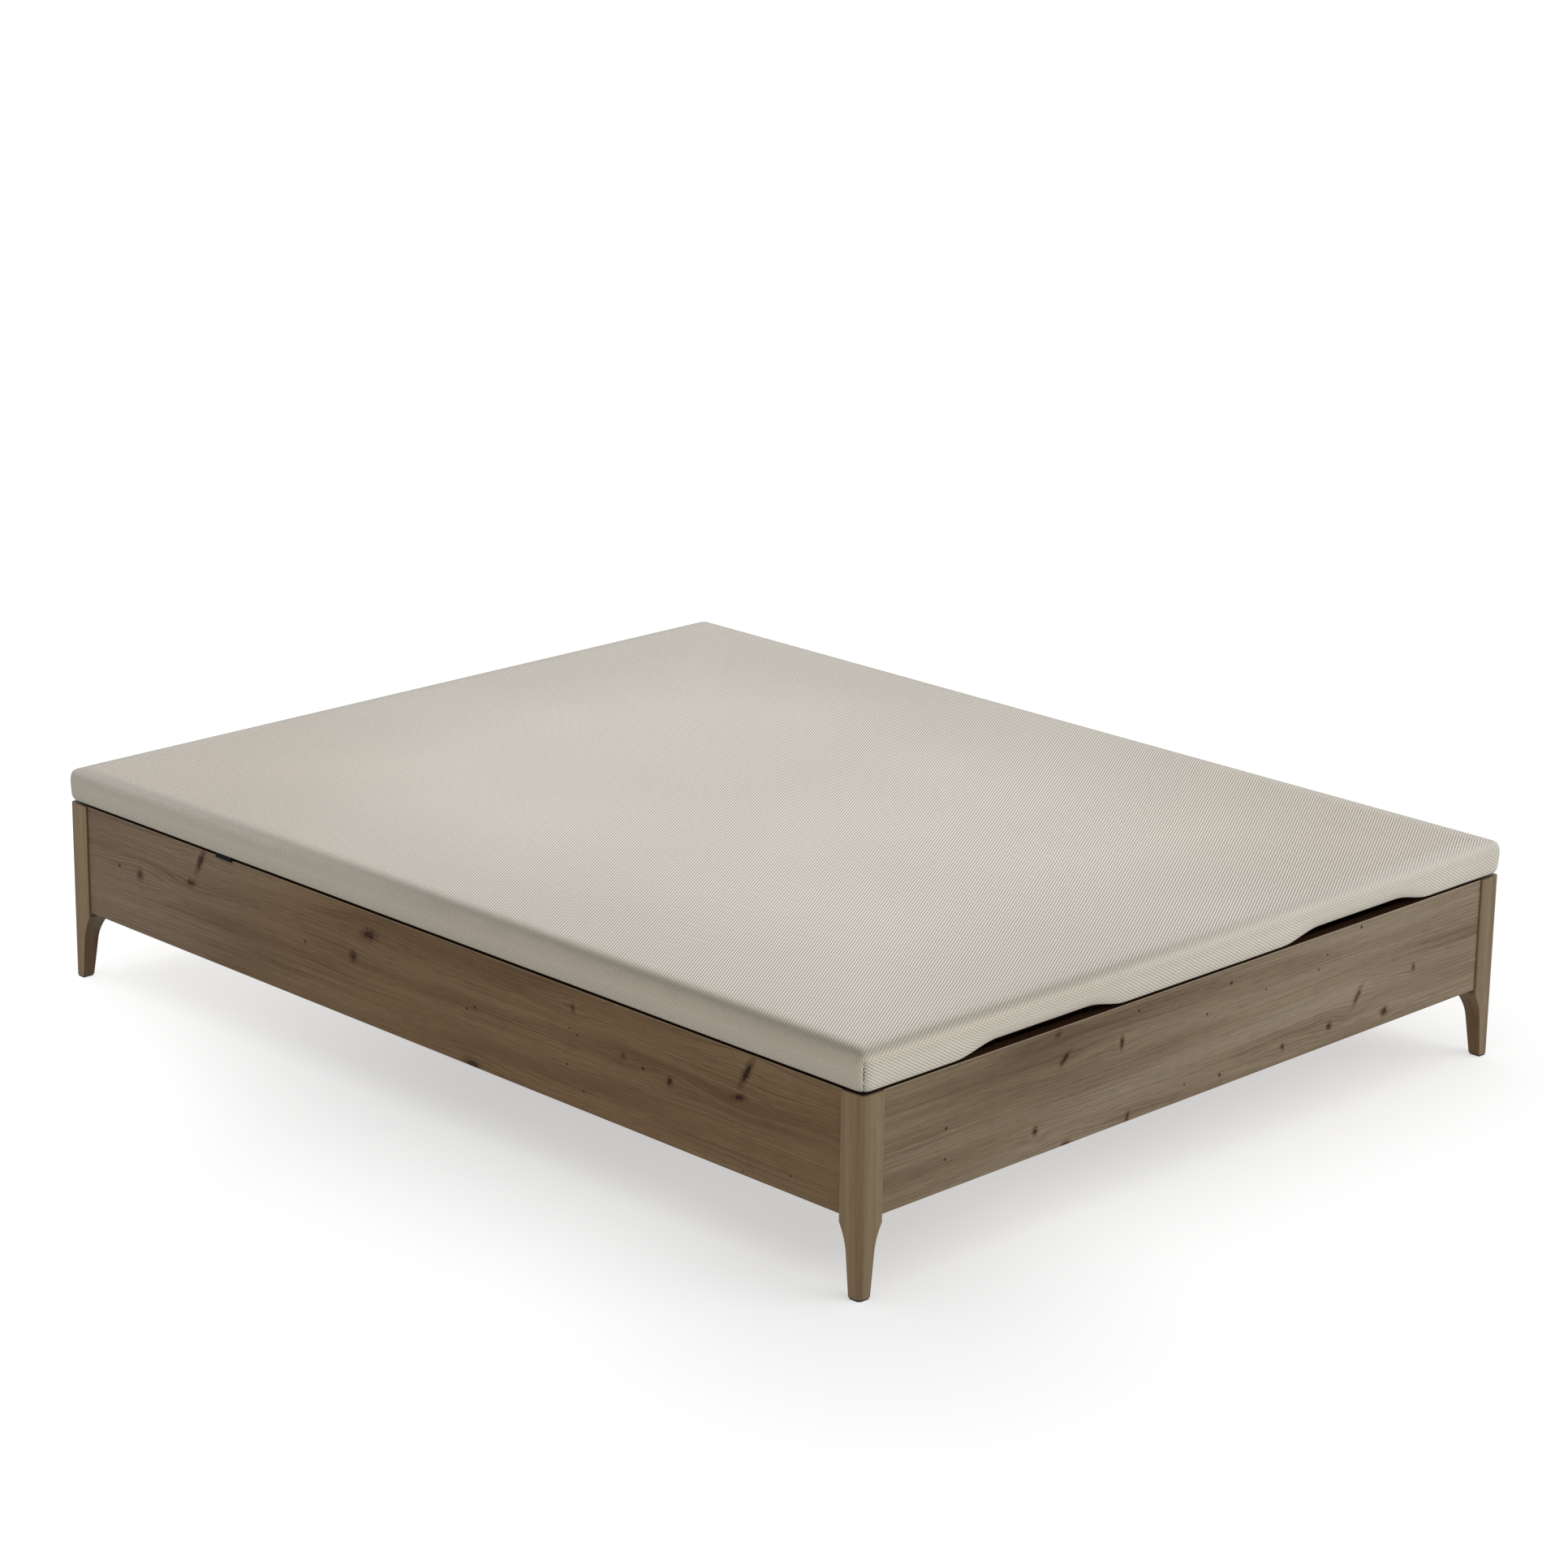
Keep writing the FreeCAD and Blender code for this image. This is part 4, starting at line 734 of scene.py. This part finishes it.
def oak_decor(name, wood, along, knots, pins, seed):
    """Oak decor on board: fine lines that run along the panel and part round cracked brown knots."""
    oak = Finish(name, roughness=0.6, specular_ior_level=0.07)
    near_painted_shade, far_painted_shade, start, end = PANEL_PAINTED_SHADE[along]
    x, y, z = oak.parts(oak.place())
    along = (x, y)[along]
    spot = oak.join(along, z, seed)
    bend, halo, core = 0.0, 0.0, 0.0
    rough = oak.swing(oak.figure(spot, (160, 160, 1), 3.0, 0.6), 1.3)
    for *lengths, lean, strength in knots:
        place, height, wide, high = (part * MM for part in lengths)
        lean = math.radians(lean)
        away = oak.vector("SUBTRACT", spot, (place, height, seed))
        reach = 1.3 * (wide + high) + 0.008
        near = oak.stretch(away, (1 / (reach * 2.6), 1 / reach, 0))
        near = oak.math("EXPONENT", oak.times(oak.dot(near, near), -1.0))
        bend = oak.times_plus(oak.times(oak.dot(away, (0, 1, 0)), near), 0.7, bend)
        u = oak.dot(away, (math.cos(lean) / wide, math.sin(lean) / wide, 0))
        v = oak.dot(away, (-math.sin(lean) / high, math.cos(lean) / high, 0))
        ring = oak.plus(oak.math("SQRT", oak.times_plus(u, u, oak.times(v, v))), rough)
        halo = oak.most(halo, oak.step(ring, 2.4, 0.8, 0.0, strength))
        core = oak.most(core, oak.step(ring, 0.95, 0.70, 0.0, strength))
    for pin in pins:
        place, height, radius = (part * MM for part in pin)
        away = oak.vector("DISTANCE", spot, (place, height, seed))
        core = oak.most(core, oak.step(away, radius, radius * 0.5))
    # The height that a line of the grain would have without its waves and its bends round the knots.
    wave = oak.swing(oak.figure(spot, (1.7, 7.0, 1)), 0.018)
    ripple = oak.swing(oak.figure(spot, (24.0, 9.0, 1)), 0.0014)
    line = oak.plus(oak.minus(z, bend), oak.plus(wave, ripple))

    def streaks(slow, quick, shift, detail=2.0, roughness=0.6):
        streak = oak.join(oak.times(along, slow), oak.times(line, quick), shift)
        return oak.noise(streak, 1.0, detail, roughness)

    bands = streaks(1.6, 19.0, seed, 3.0, 0.5)
    shade = oak.ramp(bands, (0.26, wood.oak_dark), (0.50, wood.oak_middle), (0.76, wood.oak_light))
    lines = streaks(2.2, 720.0, seed + 3)
    fine = streaks(26.0, 1500.0, seed + 5)
    rings = oak.math("SINE", oak.times(oak.plus(line, oak.times(bands, 0.010)), TURN / RING_PITCH))
    strong = oak.step(oak.figure(spot, (2.2, 12.0, 1)), 0.40, 0.66)
    strong = oak.most(strong, oak.times(halo, 0.8))
    grain = oak.step(lines, 0.40, 0.56, 0.77, 1.06)
    grain = oak.times(grain, oak.step(fine, 0.38, 0.52, 0.79, 1.05))
    crest = oak.times(oak.math("POWER", oak.step(rings, 0.0, 1.0), 2.0), strong)
    grain = oak.times(grain, oak.times_plus(crest, -0.12, 1.0))
    # Painted shade and tint along the panel.
    shade = oak.stretch(oak.scaled(shade, grain), oak.mix(oak.step(along, start, end), near_painted_shade, far_painted_shade))
    # The knots, with cracks that run out of them.
    shade = oak.mix(oak.times(halo, 0.62), shade, wood.knot_halo)
    crack = oak.size(oak.minus(oak.figure(spot, (75, 50, 1), distortion=0.8), 0.5))
    crack = oak.times(oak.step(crack, 0.030, 0.008), oak.step(halo, 0.3, 0.7))
    dark = oak.most(core, oak.times(crack, 0.7))
    shade = oak.mix(oak.times(dark, 0.9), shade, wood.knot_core)
    # The painted highlight along the top edge, and the painted shade on the top itself.
    up = oak.parts(oak.facing())[2]
    painted_highlight = oak.times(oak.step(z, HIGHLIGHT_LOW, HIGHLIGHT_HIGH), oak.step(up, 0.75, 0.5))
    shade = oak.mix(oak.times(painted_highlight, 0.5), shade, wood.oak_edge_highlight)
    # Painted shade: the panel's up-facing top is painted dark, as it lies in shadow under the lid.
    shade = oak.mix(oak.step(up, 0.75, 0.95), shade, wood.top_painted_shade)
    height = oak.times_plus(dark, -1.2, oak.plus(grain, oak.times(fine, 0.4)))
    gloss = oak.step(grain, 0.55, 1.05, 0.66, 0.48)
    return oak.surface(shade, gloss, height, strength=0.25, distance=0.0004)


# The legs' outer corners, as x plus y, and the start and end of the inner part of their tops, which takes
# painted shade, in x and in y.
LEG_CORNER = (1.683, 1.691)
LEG_INNER_X = (0.7468, 0.7448)
LEG_INNER_Y = (0.9468, 0.9448)


def leg_beech(wood):
    """Oiled beech: upright grain with short dark flecks, more of them on the rounded outer corners."""
    beech = Finish("leg_beech", roughness=0.5, specular_ior_level=0.35)
    spot = beech.place()
    x, y, _ = beech.parts(spot)
    stripes = beech.figure(spot, (95, 95, 3.0), 3.0, 0.55, 0.3)
    shade = beech.ramp(stripes, (0.30, shaded(wood.beech_middle, 0.86)), (0.5, wood.beech_middle),
                       (0.72, wood.beech_light))
    pores = beech.figure(spot, (900, 900, 45), 2.0, 0.6)
    shade = beech.scaled(shade, beech.step(pores, 0.32, 0.55, 0.86, 1.03))
    out_x = beech.size(x)
    out_y = beech.size(y)
    corner = beech.step(beech.plus(out_x, out_y), *LEG_CORNER)
    cells = beech.node("TexVoronoi", {"Vector": beech.stretch(spot, (330, 330, 120)), "Scale": 1.0})
    chance = beech.parts(cells.outputs["Color"])[0]
    often = beech.math("GREATER_THAN", chance, beech.times_plus(corner, -0.28, 0.86))
    fleck = beech.times(beech.step(cells.outputs["Distance"], 0.34, 0.16), often)
    shade = beech.mix(beech.times_plus(fleck, 0.55, beech.times(corner, 0.25)), shade, wood.beech_fleck)
    # Painted light and shade by facing: the faces to the sides are painted lighter, those to the ends a
    # little darker and those to the inside darker still.
    normal = beech.facing()
    sideways, endways, up = beech.parts(beech.vector("ABSOLUTE", normal))
    outward = beech.dot(normal, beech.stretch(spot, (1, 1, 0)))
    for turned, low, high, tone in (
        (sideways, 0.5, 0.85, (1.30, 1.21, 1.08)),
        (endways, 0.5, 0.85, (0.90, 0.90, 0.84)),
        (outward, -0.3, -0.55, (0.80, 0.68, 0.56)),
    ):
        shade = beech.mix(beech.step(turned, low, high), shade, beech.stretch(shade, tone))
    # Painted shade: the inner part of the leg's top is painted dark, as it lies in shadow under the lid.
    inner = beech.times(beech.step(out_x, *LEG_INNER_X), beech.step(out_y, *LEG_INNER_Y))
    shade = beech.mix(beech.times(beech.step(up, 0.75, 0.95), inner), shade, wood.top_painted_shade)
    height = beech.times_plus(fleck, -0.5, pores)
    gloss = beech.between(stripes, 0.56, 0.44)
    return beech.surface(shade, gloss, height, strength=0.18, distance=0.0003)


def pine(wood, along):
    """Planed pine: late-wood lines along the piece."""
    rail = Finish("rail_pine_" + "xyz"[along], roughness=0.62, specular_ior_level=0.3)
    spot = rail.place()

    def grained(across, lengthways):
        return tuple(lengthways if axis == along else across for axis in range(3))

    body = rail.figure(spot, grained(34.0, 1.1), distortion=0.4)
    late = rail.step(rail.math("FRACT", rail.times(body, 17.0)), 0.35, 0.95)
    shade = rail.mix(late, wood.pine_light, wood.pine_dark)
    fibre = rail.figure(spot, grained(620.0, 26.0), roughness=0.6)
    shade = rail.scaled(shade, rail.between(fibre, 0.88, 1.05))
    height = rail.times_plus(late, 0.5, fibre)
    return rail.surface(shade, rail.between(fibre, 0.72, 0.56), height, strength=0.2, distance=0.0003)


PLY_PITCH = 0.0026


def plywood(wood):
    """Birch plywood: wide soft figure on the faces, thin ply lines on the edges."""
    board = Finish("board_plywood", roughness=0.6, specular_ior_level=0.3)
    spot = board.place()
    figure = board.figure(spot, (1.6, 11.0, 20.0), 4.0, 0.6, 1.1)
    shade = board.ramp(figure, (0.32, wood.birch_dark), (0.55, wood.birch_light),
                       (0.8, shaded(wood.birch_light, 1.08)))
    fibre = board.figure(spot, (26.0, 700.0, 700.0), roughness=0.6)
    shade = board.scaled(shade, board.between(fibre, 0.9, 1.04))
    side = board.size(board.parts(board.facing())[2])
    plies = board.math("SINE", board.times(board.parts(spot)[2], TURN / PLY_PITCH))
    edge = board.times(board.step(side, 0.5, 0.2), board.step(plies, -0.2, 0.5))
    shade = board.mix(board.times(edge, 0.55), shade, shaded(wood.birch_dark, 0.55))
    return board.surface(shade, board.between(figure, 0.66, 0.54), fibre, strength=0.15, distance=0.0003)


# How far the sharp edges are broken on panels, legs, plates and bars.
PANEL_EDGE = 0.0008
LEG_EDGE = 0.001
PLATE_EDGE = 0.0005
BAR_EDGE = 0.0012


class BEDBASE_OT_woods(bpy.types.Operator):
    """Gives the panels their oak decor, the legs their beech and the boards, rails and ledges their woods"""
    bl_idname = "bedbase.woods"
    bl_label = "Woods"

    def execute(self, context):
        wood = context.scene.bedbase_wood
        for panel, along, knots, pins, seed in PANELS:
            dress(oak_decor("oak_" + panel, wood, along, knots, pins, seed), panel)
            soften_edges(PANEL_EDGE, panel)
        legs = ("leg_foot_left", "leg_foot_right", "leg_head_left", "leg_head_right")
        dress(leg_beech(wood), *legs)
        soften_edges(LEG_EDGE, *legs)
        dress(pine(wood, 0), "lid_rail_foot", "lid_rail_head", "floor_ledge_foot", "floor_ledge_head")
        dress(pine(wood, 1), "lid_rail_left", "lid_rail_right", "floor_ledge_left", "floor_ledge_right")
        dress(plywood(wood), "floor_board_foot", "floor_board_middle", "floor_board_head", "lid_board")
        return {"FINISHED"}


def coat(name, base, cloud, tones, gloss, texture, bump, **shader):
    """A coat or plating: clouded in tone and gloss, with a fine texture."""
    skin = Finish(name, **shader)
    spot = skin.place()
    clouds = skin.noise(spot, *cloud)
    shade = skin.ramp(clouds, (0.3, shaded(base, tones[0])), (0.7, shaded(base, tones[1])))
    return skin.surface(shade, skin.step(clouds, *gloss), skin.figure(spot, *texture), *bump)


def powder_coat(gear):
    return coat("powder_coat", gear.powder_black, cloud=(14.0, 3.0), tones=(0.8, 1.25),
                gloss=(0.3, 0.7, 0.46, 0.58), texture=((900, 900, 900), 2.0, 0.6), bump=(0.22, 0.0003),
                roughness=0.5, specular_ior_level=0.45)


def zinc_plate(name, gear):
    return coat(name, gear.zinc, cloud=(55.0, 4.0, 0.6), tones=(0.78, 1.0), gloss=(0.3, 0.7, 0.42, 0.27),
                texture=((60, 1400, 1400), 2.0), bump=(0.08, 0.0002), metallic=1.0, roughness=0.35)


def strut_paint(gear):
    return coat("strut_paint", gear.strut_black, cloud=(30.0, 3.0), tones=(0.85, 1.2),
                gloss=(0.3, 0.7, 0.26, 0.36), texture=((480, 480, 480), 1.0), bump=(0.08, 0.0002),
                roughness=0.3, coat_weight=0.4, coat_roughness=0.12)


def rod_chrome(gear):
    return coat("rod_chrome", gear.chrome, cloud=(40.0, 4.0, 0.6), tones=(0.9, 1.0),
                gloss=(0.3, 0.75, 0.09, 0.2), texture=((30, 30, 3000), 1.0), bump=(0.04, 0.0001),
                metallic=1.0, roughness=0.12)


DUST = tint(120, 114, 106)


def moulded(name, shade, roughness, dust):
    """Moulded plastic or rubber with a fine texture and a little dust."""
    mould = Finish(name, roughness=roughness, specular_ior_level=0.35)
    spot = mould.place()
    grain = mould.noise(spot, 1300.0, 2.0, 0.7)
    cloud = mould.step(mould.noise(spot, 120.0, 3.0), 0.5, 0.8)
    dusty = mould.mix(mould.times(cloud, dust), shade, DUST)
    gloss = mould.between(grain, roughness - 0.08, roughness + 0.1)
    return mould.surface(dusty, gloss, grain, strength=0.2, distance=0.0003)


def both(name):
    """The left and the right one of a pair."""
    return name + "_left", name + "_right"


class BEDBASE_OT_gear(bpy.types.Operator):
    """Gives the beam, crossbars, hinges, brackets, struts, glides and bumpers their finishes"""
    bl_idname = "bedbase.gear"
    bl_label = "Steel, plastic and rubber"

    def execute(self, context):
        gear = context.scene.bedbase_gear
        bars = ("crossbar_1", "crossbar_2", "crossbar_3", "crossbar_4", "centre_beam")
        plates = (*both("strut_plate"), *both("strut_bracket"))
        dress(powder_coat(gear), *bars, "beam_hangers", "centre_leg", "crossbar_sockets", *plates)
        dress(zinc_plate("zinc_plate", gear), "corner_brackets", "hinge_box_leaves", "hinge_lid_leaves",
              "hinge_pins", "strut_lower_pins", "strut_upper_pins", *both("strut_piston"))
        dress(strut_paint(gear), *both("strut_cylinder"))
        dress(rod_chrome(gear), *both("strut_rod"))
        dress(moulded("glide_plastic", gear.plastic, 0.5, 0.1), "leg_glides", "centre_glide")
        dress(moulded("bumper_rubber", gear.rubber, 0.75, 0.16), "lid_bumpers")
        soften_edges(PLATE_EDGE, "corner_brackets", *plates)
        soften_edges(BAR_EDGE, *bars, "lid_bumpers")
        return {"FINISHED"}


# A screw head's section, from its rim to the bottom of its socket: share of the radius, share of the rise.
HEAD_SECTION = ((1.0, 0.35), (0.86, 0.8), (0.62, 1.0), (0.42, 1.0), (0.40, 0.25))
SOCKET_FROM = 0.5
HEAD_SIDES = 12


def screw_head(bm, place, way, radius, rise):
    """A pan head with a six-sided socket, standing on place and facing way."""
    turn = Vector(way).to_track_quat("Z", "Y").to_matrix().to_4x4()
    verts = bmesh.ops.create_circle(bm, segments=HEAD_SIDES, radius=radius, cap_ends=False)["verts"]
    every = list(verts)
    for wide, up in HEAD_SECTION:
        grown = bmesh.ops.extrude_edge_only(bm, edges=edges_between(bm, verts))["geom"]
        verts = new_of(bmesh.types.BMVert, grown)
        for vert in verts:
            around = math.atan2(vert.co.y, vert.co.x)
            facet = 1.0
            if wide < SOCKET_FROM:
                facet = math.cos(math.pi / 6) / math.cos((around % (math.pi / 3)) - math.pi / 6)
            flat = Vector((math.cos(around), math.sin(around), 0)) * radius * wide * facet
            vert.co = Vector((flat.x, flat.y, rise * up))
        every += verts
    bmesh.ops.edgeloop_fill(bm, edges=edges_between(bm, verts))
    bmesh.ops.transform(bm, matrix=Matrix.Translation(place) @ turn, verts=every)


# The walls of the corner brackets and hinge leaves, and where the screws stand in them.
BRACKET_WALL = 0.0025
BRACKET_REACH = 0.026
BRACKET_HEIGHTS = (0.198, 0.262)
LEAF_WALL = 0.0015
LEAF_STEPS = (-0.036, 0.0, 0.036)
LEAF_INSET = 0.009
LEAF_SCREW = (0.0036, 0.0007)
PLATE_INSET = 0.012


class BEDBASE_OT_screws(bpy.types.Operator):
    """Drives the screws of the corner brackets, hinges, strut plates and strut brackets"""
    bl_idname = "bedbase.screws"
    bl_label = "Screws"

    def execute(self, context):
        gear = context.scene.bedbase_gear
        steel = zinc_plate("screw_zinc", gear)
        box, lid = bmesh.new(), bmesh.new()
        self.screw = (gear.screw_radius, gear.screw_rise)
        self.bracket_screws(box)
        self.hinge_screws(box, lid)
        self.strut_screws(box, lid)
        new_piece("box_screws", smooth_mesh(box, "box_screws"), steel, "box")
        new_piece("lid_screws", smooth_mesh(lid, "lid_screws"), steel, "lid")
        return {"FINISHED"}

    def bracket_screws(self, box):
        panel_x, panel_y = -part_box("side_panel_left")[1].x, -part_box("foot_panel")[1].y
        leg_x, leg_y = -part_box("leg_foot_left")[1].x, -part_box("leg_foot_left")[1].y
        spots = (
            (panel_x - BRACKET_WALL, leg_y - BRACKET_REACH, (1, 0)),
            ((panel_x + leg_x) / 2, leg_y - BRACKET_WALL, (0, 1)),
            (leg_x - BRACKET_REACH, panel_y - BRACKET_WALL, (0, 1)),
            (leg_x - BRACKET_WALL, (panel_y + leg_y) / 2, (1, 0)),
        )
        for side in (-1, 1):
            for end in (-1, 1):
                for z in BRACKET_HEIGHTS:
                    for x, y, (sideways, endways) in spots:
                        way = (-side * sideways, -end * endways, 0)
                        screw_head(box, (side * x, end * y, z), way, *self.screw)

    def hinge_screws(self, box, lid):
        low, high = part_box("hinge_box_leaves")[0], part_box("hinge_lid_leaves")[1]
        for hinge in HINGES:
            for step in LEAF_STEPS:
                spot = (hinge + step, low.y + LEAF_INSET)
                screw_head(box, (*spot, low.z + LEAF_WALL), (0, 0, 1), *LEAF_SCREW)
                screw_head(lid, (*spot, high.z - LEAF_WALL), (0, 0, -1), *LEAF_SCREW)

    def strut_screws(self, box, lid):
        for side in (0, 1):
            for bm, plates, rows in ((box, both("strut_plate"), 2), (lid, both("strut_bracket"), 1)):
                low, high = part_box(plates[side])
                face, way = ((high.x, 1), (low.x, -1))[side]
                heights = ((low.z + high.z) / 2,)
                if rows == 2:
                    heights = (low.z + PLATE_INSET, high.z - PLATE_INSET)
                for y in (low.y + PLATE_INSET, high.y - PLATE_INSET):
                    for z in heights:
                        screw_head(bm, (face, y, z), (way, 0, 0), *self.screw)


# The floor's half width, the reach of its shade from core to rim, and where it is lightest towards the head.
FLOOR_REACH = 40
SHADE_REACH = (0.05, 0.62)
HEAD_REACH = (0.0, 0.9)
# The lamps: the way to them, and how wide they are in degrees.
OVERHEAD = ((0.05, -0.12, 1.0), 95)
FRONT = ((0.48, -0.85, 0.40), 50)
LAMP_AWAY = 4


class BEDBASE_OT_stage(bpy.types.Operator):
    """Lays the white floor, hangs the soft lamps and sets the camera"""
    bl_idname = "bedbase.stage"
    bl_label = "Stage"

    def execute(self, context):
        stage = context.scene.bedbase_stage
        self.lay_floor(stage)
        self.light_world(context.scene, stage)
        self.hang_lamp("overhead", stage.overhead, *OVERHEAD)
        self.hang_lamp("front", stage.front, *FRONT)
        self.set_camera(context.scene, stage)
        context.scene.view_settings.view_transform = "Standard"
        return {"FINISHED"}

    def seen_directly(self, layout):
        """One where the camera sees the surface directly, in a mirror or through glass."""
        path = layout.node("LightPath", {}).outputs
        seen = layout.most(path["Is Camera Ray"], path["Is Glossy Ray"])
        return layout.most(seen, path["Is Transmission Ray"])

    def lay_floor(self, stage):
        bm = bmesh.new()
        bmesh.ops.create_grid(bm, x_segments=1, y_segments=1, size=FLOOR_REACH)
        mesh = bpy.data.meshes.new("studio_floor")
        bm.to_mesh(mesh)
        bm.free()
        floor = placed("studio_floor", mesh)
        paint = Finish("studio_floor")
        paint.tree.nodes.remove(paint.shader)
        lit = paint.node("BsdfDiffuse", {"Color": shaded(WHITE, stage.floor_grey)})
        light = self.floor_light(paint, stage)
        white = paint.node("Emission", {"Color": self.seen_directly(paint), "Strength": light})
        total = paint.node("AddShader", {0: lit.outputs[0], 1: white.outputs[0]})
        paint.put(paint.tree.nodes["Material Output"], "Surface", total.outputs[0])
        mesh.materials.append(paint.material)

    def floor_light(self, paint, stage):
        """The plain white share of the floor, with painted shadow: less round the near corner, more towards
        the head.
        """
        spot = paint.place()
        away = paint.vector("DISTANCE", spot, stage.shade_at)
        corner = paint.step(away, *SHADE_REACH, stage.floor_white - stage.shade_depth, stage.floor_white)
        return paint.plus(corner, paint.step(paint.parts(spot)[1], *HEAD_REACH, 0.0, stage.head_white))

    def light_world(self, scene, stage):
        scene.world = bpy.data.worlds.new("studio")
        scene.world.use_nodes = True
        sky = Layout(scene.world.node_tree)
        around = sky.tree.nodes["Background"]
        sky.put(around, "Color", WHITE)
        sky.put(around, "Strength", stage.sky)
        white = sky.node("Background", {"Color": WHITE, "Strength": 1.0})
        pick = sky.node("MixShader", {0: self.seen_directly(sky), 1: around.outputs[0], 2: white.outputs[0]})
        sky.put(sky.tree.nodes["World Output"], "Surface", pick.outputs[0])

    def hang_lamp(self, name, strength, towards, spread):
        lamp = bpy.data.lights.new(name, "SUN")
        lamp.energy = strength
        lamp.angle = math.radians(spread)
        hung = placed(name, lamp)
        hung.rotation_euler = Vector(towards).to_track_quat("Z", "Y").to_euler()
        hung.location = Vector(towards) * LAMP_AWAY

    def set_camera(self, scene, stage):
        turn, rise = stage.azimuth, stage.elevation
        back = Vector((math.sin(turn) * math.cos(rise), -math.cos(turn) * math.cos(rise), math.sin(rise)))
        level = Vector((math.cos(turn), math.sin(turn), 0))
        upright = back.cross(level)
        right = level * math.cos(stage.roll) + upright * math.sin(stage.roll)
        up = upright * math.cos(stage.roll) - level * math.sin(stage.roll)
        axes = Matrix((right, up, back)).transposed()
        lens = bpy.data.cameras.new("photo_view")
        lens.sensor_fit = "HORIZONTAL"
        lens.sensor_width = SENSOR
        lens.lens = stage.focal * SENSOR / PHOTO_SIDE
        lens.clip_end = 100
        camera = placed("photo_view", lens)
        camera.matrix_world = Matrix.Translation(-(axes @ Vector(stage.offset))) @ axes.to_4x4()
        scene.camera = camera


PIECES = (BEDBASE_OT_stage, BEDBASE_OT_lid_cover, BEDBASE_OT_lid_tab, BEDBASE_OT_woods, BEDBASE_OT_gear,
          BEDBASE_OT_screws)
SETTINGS = {"bedbase_lid": BedLidSettings, "bedbase_wood": BedWoodSettings, "bedbase_gear": BedGearSettings,
            "bedbase_stage": BedStageSettings}


class BEDBASE_PT_panel(bpy.types.Panel):
    """The bed base's pieces and their sizes and colours"""
    bl_idname = "BEDBASE_PT_panel"
    bl_label = "Bed base"
    bl_space_type = "VIEW_3D"
    bl_region_type = "UI"
    bl_category = "Bed base"

    def draw(self, context):
        for piece in PIECES:
            self.layout.operator(piece.bl_idname)
        for name in SETTINGS:
            group = getattr(context.scene, name)
            shelf = self.layout.box()
            for key in group.bl_rna.properties.keys():
                if key not in ("rna_type", "name"):
                    shelf.prop(group, key)


CLASSES = (*SETTINGS.values(), *PIECES, BEDBASE_PT_panel)


def register():
    for kind in CLASSES:
        bpy.utils.register_class(kind)
    for name, kind in SETTINGS.items():
        setattr(bpy.types.Scene, name, bpy.props.PointerProperty(type=kind))


def unregister():
    for name in SETTINGS:
        delattr(bpy.types.Scene, name)
    for kind in reversed(CLASSES):
        bpy.utils.unregister_class(kind)


def main():
    register()
    bpy.ops.bedbase.stage()
    bpy.ops.bedbase.lid_cover()
    bpy.ops.bedbase.lid_tab()
    bpy.ops.bedbase.woods()
    bpy.ops.bedbase.gear()
    bpy.ops.bedbase.screws()
    bpy.context.view_layer.update()


if __name__ == "__main__":
    main()
